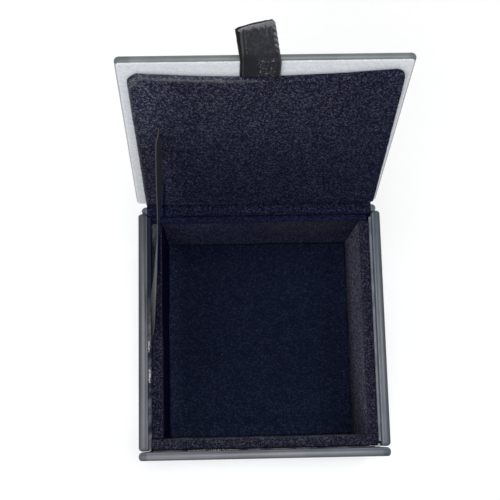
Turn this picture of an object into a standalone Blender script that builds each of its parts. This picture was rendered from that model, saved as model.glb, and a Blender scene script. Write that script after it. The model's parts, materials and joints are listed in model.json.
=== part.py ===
"""A small trinket box of mirrored glass panes with a black velvet lining, in metres, +Z up.

The origin is the middle of the underside and the front is towards -Y. The lid is modelled open, as
it leans on its stay ribbon. It turns on the cloth hinge along the top edge of the back pane.
"""
import math

import bmesh
import bpy
from mathutils import Vector

# Box
BOX_WIDTH = 0.1016
BOX_DEPTH = 0.1048
WALL_HEIGHT = 0.0536
GLASS = 0.0030
GAP = 0.0003
BULLNOSE_SHARE = 0.47
BULLNOSE_STEPS = 4

# Underside
FELT = 0.0010
FELT_MARGIN = 0.0015

# Lining
CLOTH = 0.0006
LINER_BOARD = 0.0030
BACK_BOARD = 0.0012
FLOOR_BOARD = 0.0015
LINER_DROP = 0.0030
LEFT_STANDOFF = 0.0019
RIGHT_STANDOFF = 0.0003
FRONT_STANDOFF = 0.0006
LINER_CORNER = 0.0024
CLOTH_ROLL = 0.0009
ROLL_STEPS = 3
CORNER_STEPS = 4

# Glue in the upright corners
GLUE_LEG = 0.0012
GLUE_DROP = 0.0032

# Lid and its hinge
LID_LEFT_OVERHANG = 0.0002
LID_RIGHT_INSET = 0.0022
LID_FRONT_OVERHANG = 0.0003
LID_OPEN_ANGLE = math.radians(103)
HINGE_INSET = 0.0004
HINGE_TAIL = 0.0110
HINGE_CREASE = 0.0010
HINGE_SIDE_GAP = 0.0005
HINGE_STEPS = 8

# Velvet pad inside the lid
LID_BOARD = 0.0013
PAD_LEFT_CLEARANCE = 0.0003
PAD_RIGHT_CLEARANCE = 0.0009
PAD_FRONT_CLEARANCE = 0.0025
PAD_FLARE = 0.0014
PAD_SLANT = 0.0013
PAD_HOLLOW = 0.0029
PAD_CORNER = 0.0032
PAD_EDGE_STEPS = 10

# Ribbons
RIBBON = 0.0003
TAB_WIDTH = 0.0127
TAB_SHIFT = -0.0019
TAB_TUCK = 0.0110
TAB_REACH = 0.0155
TAB_OFFSET = 0.00025
TAB_GAP = 0.0003
TAB_REST_GAP = 0.00035
TAB_BULGE = 0.0009
TAB_LEAN = -0.0018
TAB_BACK_STEP = -0.0006
TAB_TWIST = math.radians(11)
TAB_CURL = math.radians(16)
TAB_STEPS = 14
TAB_FOLD_STEPS = 8
STAY_WIDTH = 0.0100
STAY_LID_INSET = 0.0124
STAY_LID_REACH = 0.0659
STAY_BOX_REACH = 0.0534
STAY_TAIL = 0.0100
STAY_STEPS = 30
STAY_BOW_SHARES = ((0.0, 0.0), (0.07, 0.21), (0.33, 0.40), (0.58, 0.67), (0.80, 0.78), (0.955, 0.85), (1.0, 1.0))

# Places worked out from the sizes above
HALF_WIDTH = BOX_WIDTH / 2
HALF_DEPTH = BOX_DEPTH / 2
BASE_BOTTOM = FELT + GAP
BASE_TOP = BASE_BOTTOM + GLASS
STAND = BASE_TOP + GAP
RIM = STAND + WALL_HEIGHT
INNER_X = HALF_WIDTH - GLASS
INNER_Y = HALF_DEPTH - GLASS
LINER_TOP = RIM - LINER_DROP
WRAP = CLOTH + GAP
LINER = LINER_BOARD + 2 * WRAP
LINER_LEFT = -INNER_X + LEFT_STANDOFF
LINER_RIGHT = INNER_X - RIGHT_STANDOFF
LINER_FRONT = -INNER_Y + FRONT_STANDOFF
BACK_BOARD_REAR = INNER_Y - GAP - WRAP
BACK_LINER_FACE = BACK_BOARD_REAR - BACK_BOARD - WRAP
AXIS = Vector((0, HALF_DEPTH - HINGE_INSET, RIM))
LID_REST_HEIGHT = TAB_OFFSET + 2 * RIBBON + TAB_GAP + TAB_REST_GAP
PAD_THICKNESS = GAP + LID_BOARD + WRAP
PAD_FACE = LID_REST_HEIGHT - PAD_THICKNESS
PAD_REAR = -(GLASS + GAP + WRAP + GAP - HINGE_INSET)
LID_FRONT = HINGE_INSET - BOX_DEPTH - LID_FRONT_OVERHANG
LID_LEFT = -HALF_WIDTH - LID_LEFT_OVERHANG
LID_RIGHT = HALF_WIDTH - LID_RIGHT_INSET
PAD_FRONT = HINGE_INSET - BOX_DEPTH + GLASS + PAD_FRONT_CLEARANCE
TAB_MIDDLE = (LID_LEFT + LID_RIGHT) / 2 + TAB_SHIFT


def material(name, colour, roughness, metallic=0.0):
    """A plain Principled material."""
    made = bpy.data.materials.new(name)
    made.use_nodes = True
    shader = made.node_tree.nodes["Principled BSDF"]
    shader.inputs["Base Color"].default_value = (*colour, 1)
    shader.inputs["Roughness"].default_value = roughness
    shader.inputs["Metallic"].default_value = metallic
    return made


def place(bm, name, surface, parent=None, smooth=True):
    """Turns a mesh into a named object with its faces out, hung on the parent if there is one."""
    bmesh.ops.recalc_face_normals(bm, faces=bm.faces)
    mesh = bpy.data.meshes.new(name)
    bm.to_mesh(mesh)
    bm.free()
    if smooth:
        mesh.shade_smooth()
        mesh.set_sharp_from_angle(angle=math.radians(35))
    made = bpy.data.objects.new(name, mesh)
    made.data.materials.append(surface)
    bpy.context.scene.collection.objects.link(made)
    made.parent = parent
    return made


def loft(rings):
    """A closed body through rings with the same number of points, capped at the first and the last."""
    bm = bmesh.new()
    made = [[bm.verts.new(point) for point in ring] for ring in rings]
    for lower, upper in zip(made, made[1:]):
        for i in range(len(lower)):
            j = (i + 1) % len(lower)
            bm.faces.new((lower[i], lower[j], upper[j], upper[i]))
    bm.faces.new(made[0])
    bm.faces.new(made[-1])
    return bm


def block(low, high):
    """A plain box between two corners."""
    (x0, y0, z0), (x1, y1, z1) = low, high
    return loft([[(x, y, z) for x, y in rectangle(x0, x1, y0, y1)] for z in (z0, z1)])


def pane(name, low, high, surface, parent=None):
    """A glass pane with pencil-polished edges."""
    made = place(block(low, high), name, surface, parent)
    bevel = made.modifiers.new("pencil_edge", "BEVEL")
    bevel.width = GLASS * BULLNOSE_SHARE
    bevel.segments = BULLNOSE_STEPS
    bevel.limit_method = "ANGLE"
    return made


def corner_arc(centre, radius, start, steps=CORNER_STEPS):
    """Points of a quarter turn about a centre, from an angle in quarter turns."""
    angles = [(start + i / steps) * math.pi / 2 for i in range(steps + 1)]
    return [(centre[0] + radius * math.cos(a), centre[1] + radius * math.sin(a)) for a in angles]


def rectangle(x0, x1, y0, y1):
    """The four corners of a plain outline seen from above."""
    return [(x0, y0), (x1, y0), (x1, y1), (x0, y1)]


def liner_outline(x0, x1, y0, y1, front_corner):
    """A board's outline seen from above, whose two front corners are rounded."""
    left = corner_arc((x0 + front_corner, y0 + front_corner), front_corner, 2)
    right = corner_arc((x1 - front_corner, y0 + front_corner), front_corner, 3)
    return left + right + [(x1, y1), (x0, y1)]


def wrapped(name, outline, bottom, top, cloth, parent=None):
    """Velvet drawn over a board: a cap with a rolled edge. outline(inset) gives a ring's points."""
    up = 1 if top > bottom else -1
    rings = [(CLOTH, top - up * CLOTH), (CLOTH, bottom), (0, bottom), (0, top - up * CLOTH_ROLL)]
    for i in range(1, ROLL_STEPS + 1):
        a = i / ROLL_STEPS * math.pi / 2
        rings.append((CLOTH_ROLL * (1 - math.cos(a)), top - up * CLOTH_ROLL * (1 - math.sin(a))))
    bm = loft([[(x, y, z) for x, y in outline(inset)] for inset, z in rings])
    return place(bm, name, cloth, parent)


def strip(profile, thickness, side):
    """A ribbon or cloth of one thickness along a line of (place, normal) pairs; side(point, end) gives
    the point at either selvedge."""
    half = thickness / 2
    outer = [point + normal * half for point, normal in profile]
    inner = [point - normal * half for point, normal in reversed(profile)]
    section = outer + inner
    return loft([[side(point, end) for point in section] for end in (-1, 1)])


def with_normals(points):
    """Pairs each point of a line in the YZ plane with its normal there."""
    pairs = []
    for i, point in enumerate(points):
        run = points[min(i + 1, len(points) - 1)] - points[max(i - 1, 0)]
        pairs.append((point, Vector((0, -run.z, run.y)).normalized()))
    return pairs


def cut(body, low, high, name, parent=None):
    """Takes a box out of a body."""
    cutter = place(block(low, high), name, body.data.materials[0], parent, smooth=False)
    cutter.hide_render = True
    cutter.display_type = "WIRE"
    hole = body.modifiers.new(name, "BOOLEAN")
    hole.operation = "DIFFERENCE"
    hole.solver = "EXACT"
    hole.object = cutter


def glass_box(mirror):
    """Four panes standing on the base pane, the front and back ones across the full width."""
    pane("base_pane", (-HALF_WIDTH, -HALF_DEPTH, BASE_BOTTOM), (HALF_WIDTH, HALF_DEPTH, BASE_TOP), mirror)
    pane("front_pane", (-HALF_WIDTH, -HALF_DEPTH, STAND), (HALF_WIDTH, -INNER_Y, RIM), mirror)
    pane("back_pane", (-HALF_WIDTH, INNER_Y, STAND), (HALF_WIDTH, HALF_DEPTH, RIM), mirror)
    side_end = INNER_Y - GAP
    pane("left_pane", (-HALF_WIDTH, -side_end, STAND), (-INNER_X, side_end, RIM), mirror)
    pane("right_pane", (INNER_X, -side_end, STAND), (HALF_WIDTH, side_end, RIM), mirror)


def underside(felt):
    """The felt sheet that the box stands on."""
    x, y = HALF_WIDTH - FELT_MARGIN, HALF_DEPTH - FELT_MARGIN
    place(block((-x, -y, 0), (x, y, FELT)), "base_felt", felt, smooth=False)


def glue_beads(glue):
    """A bead of clear glue up each inner corner. The rear ones stop under the hinge cloth."""
    tops = {"front": RIM - GLUE_DROP, "rear": RIM - HINGE_TAIL - GAP}
    for across, sx in (("left", -1), ("right", 1)):
        for along, sy in (("front", -1), ("rear", 1)):
            x, y = sx * (INNER_X - GAP), sy * (INNER_Y - GAP)
            section = [(x, y), (x - sx * GLUE_LEG, y), (x, y - sy * GLUE_LEG)]
            bm = loft([[(px, py, z) for px, py in section] for z in (STAND, tops[along])])
            place(bm, f"glue_{along}_{across}", glue, smooth=False)


def full_liner(name, x0, x1, y0, y1, front_corner, cloth, board):
    """A velvet-covered board against one wall of the box."""
    def outline(inset):
        sides = (x0 + inset, x1 - inset, y0 + inset, y1 - inset)
        return liner_outline(*sides, front_corner - inset) if front_corner else rectangle(*sides)
    wrapped(f"{name}_liner_velvet", outline, STAND, LINER_TOP, cloth)
    bm = loft([[(x, y, z) for x, y in outline(WRAP)] for z in (STAND, LINER_TOP - WRAP)])
    place(bm, f"{name}_liner_board", board)


def lining(cloth, board):
    """The four velvet-covered boards round the walls and the pad on the floor."""
    front_face = LINER_FRONT + LINER
    full_liner("front", LINER_LEFT, LINER_RIGHT, LINER_FRONT, front_face, LINER_CORNER, cloth, board)
    side_front, side_rear = front_face + GAP, BACK_LINER_FACE - GAP
    full_liner("left", LINER_LEFT, LINER_LEFT + LINER, side_front, side_rear, 0, cloth, board)
    full_liner("right", LINER_RIGHT - LINER, LINER_RIGHT, side_front, side_rear, 0, cloth, board)
    back_liner(cloth, board)
    floor_pad(LINER_LEFT + LINER + GAP, LINER_RIGHT - LINER - GAP, side_front, side_rear, cloth, board)


def back_liner(cloth, board):
    """The thin liner at the back, whose velvet goes over the top and stops at the hinge cloth."""
    x0, x1 = LINER_LEFT, INNER_X - GAP - GLUE_LEG - GAP
    face, rear = BACK_LINER_FACE, BACK_BOARD_REAR
    low = (x0, face + WRAP, STAND)
    place(block(low, (x1, rear, LINER_TOP - WRAP)), "back_liner_board", board, smooth=False)
    roll = corner_arc((face + CLOTH_ROLL, LINER_TOP - CLOTH_ROLL), CLOTH_ROLL, 1, ROLL_STEPS)
    section = [(face, STAND), (face + CLOTH, STAND), (face + CLOTH, LINER_TOP - CLOTH)]
    section += [(rear, LINER_TOP - CLOTH), (rear, LINER_TOP)] + roll
    bm = loft([[(x, y, z) for y, z in section] for x in (x0, x1)])
    place(bm, "back_liner_velvet", cloth)


def floor_pad(x0, x1, y0, y1, cloth, board):
    """The velvet-covered board on the floor of the box."""
    def outline(inset):
        return rectangle(x0 + inset, x1 - inset, y0 + inset, y1 - inset)
    top = STAND + FLOOR_BOARD + WRAP
    wrapped("floor_velvet", outline, STAND, top, cloth)
    bm = loft([[(x, y, z) for x, y in outline(WRAP)] for z in (STAND, STAND + FLOOR_BOARD)])
    place(bm, "floor_board", board, smooth=False)


def pad_front(along):
    """Y of the pad's hollow front edge at a share of the way from its left end to its right end."""
    return PAD_FRONT + PAD_SLANT * (1 - along) + PAD_HOLLOW * math.sin(math.pi * along)


def pad_outline(inset):
    """The lid pad's outline with rounded front corners, a hollow front edge and a flared right side.
    Y runs back from the front of the closed lid to the hinge."""
    left = -INNER_X + PAD_LEFT_CLEARANCE + inset
    wide = INNER_X - PAD_RIGHT_CLEARANCE - inset
    right = wide - PAD_FLARE
    radius = PAD_CORNER - inset
    points = [(wide, PAD_REAR - inset), (left, PAD_REAR - inset)]
    points += corner_arc((left + radius, pad_front(0) + inset + radius), radius, 2)
    run = right - left - 2 * radius
    for i in range(1, PAD_EDGE_STEPS):
        along = i / PAD_EDGE_STEPS
        points.append((left + radius + run * along, pad_front(along) + inset))
    return points + corner_arc((right - radius, pad_front(1) + inset + radius), radius, 3)


def lid(hinge, mirror, cloth, board):
    """The lid's pane and the velvet pad on its inner face, hung on the hinge axis as when closed."""
    low = (LID_LEFT, LID_FRONT, LID_REST_HEIGHT)
    pane("lid_pane", low, (LID_RIGHT, HINGE_INSET, LID_REST_HEIGHT + GLASS), mirror, hinge)
    back = LID_REST_HEIGHT - GAP
    rings = [[(x, y, z) for x, y in pad_outline(WRAP)] for z in (back - LID_BOARD, back)]
    pad_board = place(loft(rings), "lid_pad_board", board, hinge)
    velvet = wrapped("lid_pad_velvet", pad_outline, back, PAD_FACE, cloth, hinge)

    reach = TAB_WIDTH / 2 + GAP
    tab_left, tab_right = TAB_MIDDLE - reach, TAB_MIDDLE + reach
    under_board = back - LID_BOARD - GAP
    under_tab = LID_REST_HEIGHT - TAB_OFFSET - 2 * RIBBON - TAB_GAP - GAP
    room_high = (tab_right, tab_rear() + GAP, LID_REST_HEIGHT)
    cut(pad_board, (tab_left, LID_FRONT, under_board), room_high, "tab_room_in_board", hinge)
    cut(velvet, (tab_left, LID_FRONT, under_tab), room_high, "tab_room_in_velvet", hinge)

    slit_low, slit_high = stay_slit()
    cut(velvet, slit_low, slit_high, "stay_slit", hinge)


def tab_rear():
    """Y of the pull tab's glued end under the pad."""
    return pad_front(1 / 2) + TAB_TUCK


def pull_tab(hinge, satin):
    """A folded loop of satin ribbon, held under the pad's front edge, that lifts the lid."""
    start, edge = tab_rear(), LID_FRONT
    middle = LID_REST_HEIGHT - TAB_OFFSET - RIBBON - TAB_GAP / 2
    half_gap = (TAB_GAP + RIBBON) / 2
    stations = []
    for i in range(TAB_STEPS + 1):
        flat = min(i / TAB_STEPS * (start - edge + TAB_REACH), start - edge)
        free = i / TAB_STEPS * (start - edge + TAB_REACH) - flat
        share = free / TAB_REACH
        angle = TAB_CURL * share
        centre = Vector((0, start - flat - free * math.cos(angle / 2), middle + free * math.sin(angle / 2)))
        stations.append((centre, angle, half_gap + TAB_BULGE * share * share * (3 - 2 * share), share))
    under, over = [], []
    for centre, angle, spread, share in stations:
        off = Vector((0, math.sin(angle), math.cos(angle)))
        under.append(centre - off * spread)
        over.append(centre + off * spread)
    centre, angle, spread, share = stations[-1]
    fold = []
    for i in range(1, TAB_FOLD_STEPS):
        turn = math.pi * i / TAB_FOLD_STEPS
        off = Vector((0, math.sin(angle), math.cos(angle)))
        ahead = Vector((0, -math.cos(angle), math.sin(angle)))
        fold.append(centre - off * spread * math.cos(turn) + ahead * spread * math.sin(turn))
    profile = with_normals(under + fold + over[::-1])

    def side(point, end):
        share = max(0.0, (edge - point.y) / TAB_REACH)
        x = TAB_MIDDLE + end * TAB_WIDTH / 2 + TAB_LEAN * share
        if point.z > middle + share * TAB_REACH * math.sin(TAB_CURL / 2):
            x += TAB_BACK_STEP * share
        return point + Vector((x, 0, end * TAB_WIDTH / 2 * math.sin(TAB_TWIST * share)))
    place(strip(profile, RIBBON, side), "pull_tab", satin, hinge)


def hinge_cloth(cloth):
    """The velvet strip from the lid's inner face over the back pane's rim and down inside the box."""
    turn = LID_OPEN_ANGLE
    along_lid = Vector((0, -math.cos(turn), math.sin(turn)))
    off_lid = Vector((0, math.sin(turn), math.cos(turn)))
    lid_line = AXIS + off_lid * (LID_REST_HEIGHT - GAP - CLOTH / 2)
    over_rim = RIM + GAP + CLOTH / 2
    meet = lid_line + along_lid * ((over_rim - lid_line.z) / along_lid.z)
    bend = math.pi - turn
    tangent = HINGE_CREASE * math.tan(bend / 2)
    points = [lid_line + along_lid * (-PAD_REAR - GAP)]
    crease = meet + along_lid * tangent - off_lid * HINGE_CREASE
    for i in range(HINGE_STEPS + 1):
        a = i / HINGE_STEPS * bend
        points.append(crease + off_lid * HINGE_CREASE * math.cos(a) - along_lid * HINGE_CREASE * math.sin(a))
    nose = GLASS / 2
    radius = nose + GAP + CLOTH / 2
    for i in range(HINGE_STEPS + 1):
        a = i / HINGE_STEPS * math.pi / 2
        points.append(Vector((0, INNER_Y + nose - radius * math.sin(a), RIM - nose + radius * math.cos(a))))
    points.append(Vector((0, INNER_Y + nose - radius, RIM - HINGE_TAIL)))
    reach = INNER_X - HINGE_SIDE_GAP
    place(strip(with_normals(points), CLOTH, lambda p, end: p + Vector((end * reach, 0, 0))), "hinge_velvet", cloth)


def stay_lines():
    """Where the stay's upper edge leaves the pad and enters the box, its run between them and the
    direction from that edge across the ribbon, all in the YZ plane."""
    along_lid = Vector((0, -math.cos(LID_OPEN_ANGLE), math.sin(LID_OPEN_ANGLE)))
    off_lid = Vector((0, math.sin(LID_OPEN_ANGLE), math.cos(LID_OPEN_ANGLE)))
    at_lid = AXIS + off_lid * PAD_FACE + along_lid * STAY_LID_REACH
    at_box = Vector((0, AXIS.y - STAY_BOX_REACH, LINER_TOP))
    run = (at_lid - at_box).normalized()
    return at_lid, at_box, run, Vector((0, run.z, -run.y)), along_lid, off_lid


def stay_slit():
    """The slit in the pad's velvet that the stay goes through, as two corners on the closed lid."""
    at_lid, at_box, run, across, along_lid, off_lid = stay_lines()
    sine = abs(run.dot(off_lid))
    slant = CLOTH * run.dot(along_lid) / sine
    x = LID_LEFT + STAY_LID_INSET
    reach = RIBBON / 2 + GAP
    low = (x - reach, -STAY_LID_REACH - slant - GAP, PAD_FACE - GAP)
    high = (x + reach, STAY_WIDTH / sine - STAY_LID_REACH + GAP, PAD_FACE + CLOTH + GAP)
    return low, high


def eased(shares, t):
    """A smooth curve through pairs of shares, level at both ends."""
    slopes = [0.0]
    for (t0, v0), (t2, v2) in zip(shares, shares[2:]):
        slopes.append((v2 - v0) / (t2 - t0))
    slopes.append(0.0)
    for i, ((t0, v0), (t1, v1)) in enumerate(zip(shares, shares[1:])):
        if t <= t1:
            run = t1 - t0
            s = (t - t0) / run
            rise = v0 * (1 + 2 * s) * (1 - s) ** 2 + v1 * s * s * (3 - 2 * s)
            return rise + run * (slopes[i] * s * (1 - s) ** 2 - slopes[i + 1] * s * s * (1 - s))
    return shares[-1][1]


def stay_ribbon(satin):
    """The flat ribbon that stops the lid. It leaves the pad through a slit, runs edge-on to the rim and
    goes down behind the left liner. Its bow depends on how far a point is from either anchor."""
    at_lid, at_box, run, across, along_lid, off_lid = stay_lines()
    lid_x = LID_LEFT + STAY_LID_INSET
    box_x = -INNER_X + LEFT_STANDOFF / 2

    def bowed(point):
        above_liner = max(0.0, point.z - LINER_TOP - GAP)
        off_pad = max(0.0, PAD_FACE - GAP - (point - AXIS).dot(off_lid))
        share = eased(STAY_BOW_SHARES, above_liner / (above_liner + off_pad))
        return Vector((box_x + (lid_x - box_x) * share, point.y, point.z))

    def edge(distance):
        line = at_box + across * distance
        low = line + run * ((LINER_TOP - STAY_TAIL - line.z) / run.z)
        depth = PAD_FACE + CLOTH
        high = line + run * ((depth - (line - AXIS).dot(off_lid)) / run.dot(off_lid))
        return [bowed(low.lerp(high, i / STAY_STEPS)) for i in range(STAY_STEPS + 1)]

    upper, lower = edge(0), edge(STAY_WIDTH)
    rings = []
    for i, (a, b) in enumerate(zip(upper, lower)):
        ahead = upper[min(i + 1, STAY_STEPS)] - upper[max(i - 1, 0)]
        ahead += lower[min(i + 1, STAY_STEPS)] - lower[max(i - 1, 0)]
        off = ahead.cross(b - a).normalized() * RIBBON / 2
        rings.append([a - off, a + off, b + off, b - off])
    place(loft(rings), "stay_ribbon", satin)


def main():
    """Builds every piece of the box."""
    for old in list(bpy.data.objects):
        bpy.data.objects.remove(old)
    mirror = material("mirrored_glass", (0.62, 0.66, 0.68), 0.08, 0.6)
    velvet = material("black_velvet", (0.012, 0.012, 0.022), 0.95)
    board = material("grey_card", (0.32, 0.31, 0.29), 0.9)
    felt = material("black_felt", (0.02, 0.02, 0.022), 0.95)
    satin = material("black_satin", (0.03, 0.03, 0.036), 0.38)
    glue = material("clear_glue", (0.85, 0.86, 0.84), 0.25)

    hinge = bpy.data.objects.new("lid_hinge_axis", None)
    bpy.context.scene.collection.objects.link(hinge)
    hinge.location = AXIS
    hinge.rotation_euler = (-LID_OPEN_ANGLE, 0, 0)

    underside(felt)
    glass_box(mirror)
    glue_beads(glue)
    lining(velvet, board)
    lid(hinge, mirror, velvet, board)
    pull_tab(hinge, satin)
    hinge_cloth(velvet)
    stay_ribbon(satin)


main()
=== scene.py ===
# %% [markdown]
# # A mirrored glass trinket box, dressed around its CAD model
#
# The real thing is a four-inch box of mirror glass. Its panes have round polished edges, its inside is
# lined with black velvet over card, and its lid leans back on a satin ribbon. The CAD model already
# holds the true sizes, so every size here is read from it or is a real size in metres.

# %% Load the frame
import json
import math

import bmesh
import bpy
import numpy as np
from mathutils import Matrix, Vector, noise


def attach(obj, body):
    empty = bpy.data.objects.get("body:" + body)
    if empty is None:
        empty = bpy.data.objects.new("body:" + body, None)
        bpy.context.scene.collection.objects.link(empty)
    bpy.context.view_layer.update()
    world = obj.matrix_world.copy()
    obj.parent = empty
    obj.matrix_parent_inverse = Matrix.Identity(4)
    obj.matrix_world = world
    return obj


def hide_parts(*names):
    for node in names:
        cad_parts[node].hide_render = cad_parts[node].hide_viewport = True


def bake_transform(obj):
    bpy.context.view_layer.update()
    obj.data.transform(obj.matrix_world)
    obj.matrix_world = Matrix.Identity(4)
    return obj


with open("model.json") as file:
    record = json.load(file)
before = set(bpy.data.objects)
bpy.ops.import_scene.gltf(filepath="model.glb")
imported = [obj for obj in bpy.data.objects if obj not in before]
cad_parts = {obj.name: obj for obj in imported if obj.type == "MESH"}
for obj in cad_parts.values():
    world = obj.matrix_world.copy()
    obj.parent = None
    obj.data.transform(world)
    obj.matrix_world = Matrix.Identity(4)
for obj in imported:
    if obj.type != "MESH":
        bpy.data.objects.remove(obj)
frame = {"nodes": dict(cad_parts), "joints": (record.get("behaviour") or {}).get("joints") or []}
noise.seed_set(7)  # noise_vector would otherwise differ in every run
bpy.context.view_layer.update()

# %% [markdown]
# ## Sizes that the frame gives
#
# The lid is modelled open. Its pieces are simplest to build closed, flat over the box, and to turn
# open afterwards, so this cell makes the matrix for that turn from the hinge's own axis and range.

# %% The hinge, the panes and the lining
hinge = frame["joints"][0]
axis = Vector(hinge["pos_m"])
lid_turn = math.radians(hinge["range_deg"][1])
to_open = Matrix.Translation(axis) @ Matrix.Rotation(-lid_turn, 4, "X") @ Matrix.Translation(-axis)
to_closed = to_open.inverted()


def node_box(node, turn=Matrix()):
    """Lowest and highest corner of a CAD node, after a turn if one is given."""
    points = np.array([turn @ v.co for v in frame["nodes"][node].data.vertices])
    return Vector(points.min(0)), Vector(points.max(0))


front_low, front_high = node_box("front_pane")
left_inner, right_face = node_box("left_pane")[1].x, node_box("right_pane")[0].x
lid_low, lid_high = node_box("lid_pane", to_closed)
floor_low, floor_high = node_box("floor_velvet")
liner_low, liner_high = node_box("front_liner_velvet")
rim, liner_top = front_high.z, liner_high.z
glass = front_high.y - front_low.y
touch = 0.0003  # the gap between pieces that touch
cloth = 0.0006
print("glass", round(glass * 1000, 2), "mm, rim", round(rim * 1000, 1), "mm")

# %% [markdown]
# ## The camera
#
# The photograph looks almost straight down from just over the front edge, with a little turn and roll.
# The numbers come from lining up the box's corners with a pinhole camera.

# %% Camera
eye = Vector((-0.01855, -0.04441, 0.46301))
look_down, look_right, head_tilt = (math.radians(angle) for angle in (79.0, 10.36, 9.23))
focal_px, frame_px, sensor = 980.8, 500, 36

ahead = Vector((math.sin(look_right) * math.cos(look_down), math.cos(look_right) * math.cos(look_down),
                -math.sin(look_down)))
level = Vector((math.cos(look_right), -math.sin(look_right), 0))
over = level.cross(ahead)
camera_x = level * math.cos(head_tilt) + over * math.sin(head_tilt)
camera_y = over * math.cos(head_tilt) - level * math.sin(head_tilt)

camera = bpy.data.objects.new("camera", bpy.data.cameras.new("camera"))
camera.data.sensor_width = sensor
camera.data.lens = focal_px * sensor / frame_px
camera.data.clip_start = 0.01
bpy.context.scene.collection.objects.link(camera)
camera.matrix_world = Matrix.Translation(eye) @ Matrix((camera_x, camera_y, -ahead)).transposed().to_4x4()
bpy.context.scene.camera = camera
print("lens", round(camera.data.lens, 1), "mm")

# %% [markdown]
# ## Small helpers for node trees
#
# A node tree is easier to read when one call adds a node, sets it and wires it. The same helpers serve
# shader trees and geometry trees: they all work on the tree that was opened last.

# %% Node helpers
tree = None


def open_tree(made):
    """From here on, the helpers add their nodes to this tree."""
    global tree
    tree = made
    return made


def feed(sockets, values):
    """Links or sets sockets, by name or by number. A plain colour gets full opacity."""
    for key, value in values.items():
        if isinstance(value, bpy.types.NodeSocket):
            tree.links.new(value, sockets[key])
        elif sockets[key].type == "RGBA":
            sockets[key].default_value = (*value, 1)
        else:
            sockets[key].default_value = value


def wire(kind, inputs=None, out=0, **settings):
    """Adds a node, sets its properties, feeds its inputs and gives back one output."""
    node = tree.nodes.new(kind)
    for name, value in settings.items():
        setattr(node, name, value)
    feed(node.inputs, inputs or {})
    return node.outputs[out]


def sums(operation, *values, clamp=False):
    """A Math node."""
    return wire("ShaderNodeMath", dict(enumerate(values)), operation=operation, use_clamp=clamp)


def times(a, b):
    """A Math node that multiplies."""
    return sums("MULTIPLY", a, b)


def mix(factor, a, b, mode="MIX"):
    """A Mix node for colours."""
    return wire("ShaderNodeMix", {0: factor, 6: a, 7: b}, out=2, data_type="RGBA", blend_type=mode)


def tinted(colour, tint):
    """One colour times another."""
    return mix(1.0, colour, tint, "MULTIPLY")


def between(factor, a, b):
    """A Mix node for plain values."""
    return wire("ShaderNodeMix", {0: factor, 2: a, 3: b}, data_type="FLOAT")


def fade(value, low, high):
    """0 below low, 1 above high and smooth between them."""
    inputs = {"Value": value, "From Min": low, "From Max": high}
    return wire("ShaderNodeMapRange", inputs, interpolation_type="SMOOTHSTEP")


def colour_steps(value, steps):
    """A colour ramp from (place, colour) pairs."""
    node = tree.nodes.new("ShaderNodeValToRGB")
    ramp = node.color_ramp
    while len(ramp.elements) < len(steps):
        ramp.elements.new(1.0)
    for element, (place, colour) in zip(ramp.elements, steps):
        element.position = place
        element.color = (*colour, 1)
    feed(node.inputs, {0: value})
    return node.outputs[0]


def combine(x, y, z):
    """A vector from three values."""
    return wire("ShaderNodeCombineXYZ", {0: x, 1: y, 2: z})


def own(way):
    """The object's own coordinate along X, Y or Z."""
    return wire("ShaderNodeSeparateXYZ", {0: wire("ShaderNodeTexCoord", out="Object")}, out=way)


def grain(size, detail=2.0, rough=0.5, stretch=None):
    """Noise whose lumps are about one size across, in metres, over the object's own coordinates."""
    where = wire("ShaderNodeTexCoord", out="Object")
    if stretch:
        where = wire("ShaderNodeMapping", {"Vector": where, "Scale": stretch})
    return wire("ShaderNodeTexNoise", {"Vector": where, "Scale": 1 / size, "Detail": detail, "Roughness": rough})


def painted(name):
    """A value that the mesh carries at each point."""
    return wire("ShaderNodeAttribute", out="Fac", attribute_name=name)


def ups_and_downs(name):
    """How far a value that the mesh carries lies above 0, and how far below."""
    value = painted(name)
    return sums("MAXIMUM", value, 0.0), times(sums("MINIMUM", value, 0.0), -1.0)


def bump(height, distance, strength=1.0):
    """A Bump node, for the Normal socket."""
    return wire("ShaderNodeBump", {"Height": height, "Distance": distance, "Strength": strength})


def new_group(name, given, results):
    """Opens a shader group of plain values. Gives back it, its input values and its result sockets."""
    group = open_tree(bpy.data.node_groups.new(name, "ShaderNodeTree"))
    for label, value in given.items():
        group.interface.new_socket(label, in_out="INPUT", socket_type="NodeSocketFloat").default_value = value
    for label in results:
        group.interface.new_socket(label, in_out="OUTPUT", socket_type="NodeSocketFloat")
    return group, tree.nodes.new("NodeGroupInput").outputs, tree.nodes.new("NodeGroupOutput").inputs


def use_group(group, values):
    """Places a group in the open tree with its own values, and gives back its outputs."""
    node = tree.nodes.new("ShaderNodeGroup")
    node.node_tree = group
    feed(node.inputs, values)
    return node.outputs


def new_material(name, **plain):
    """Opens a Principled material with plain values on its own sockets. Gives back it and its sockets."""
    material = bpy.data.materials.new(name)
    material.use_nodes = True
    shader = open_tree(material.node_tree).nodes["Principled BSDF"].inputs
    feed(shader, {label.replace("_", " "): value for label, value in plain.items()})
    return material, shader


# %% [markdown]
# ## Effects that several finishes share
#
# Velvet is short pile that stands up and leans over in patches. Seen close it is never one tone: each
# tuft catches the light by itself. The nap group gives four masks for that: tufts, wide crush, single
# glints and their hue. Each cloth mixes them in its own amounts.

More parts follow.
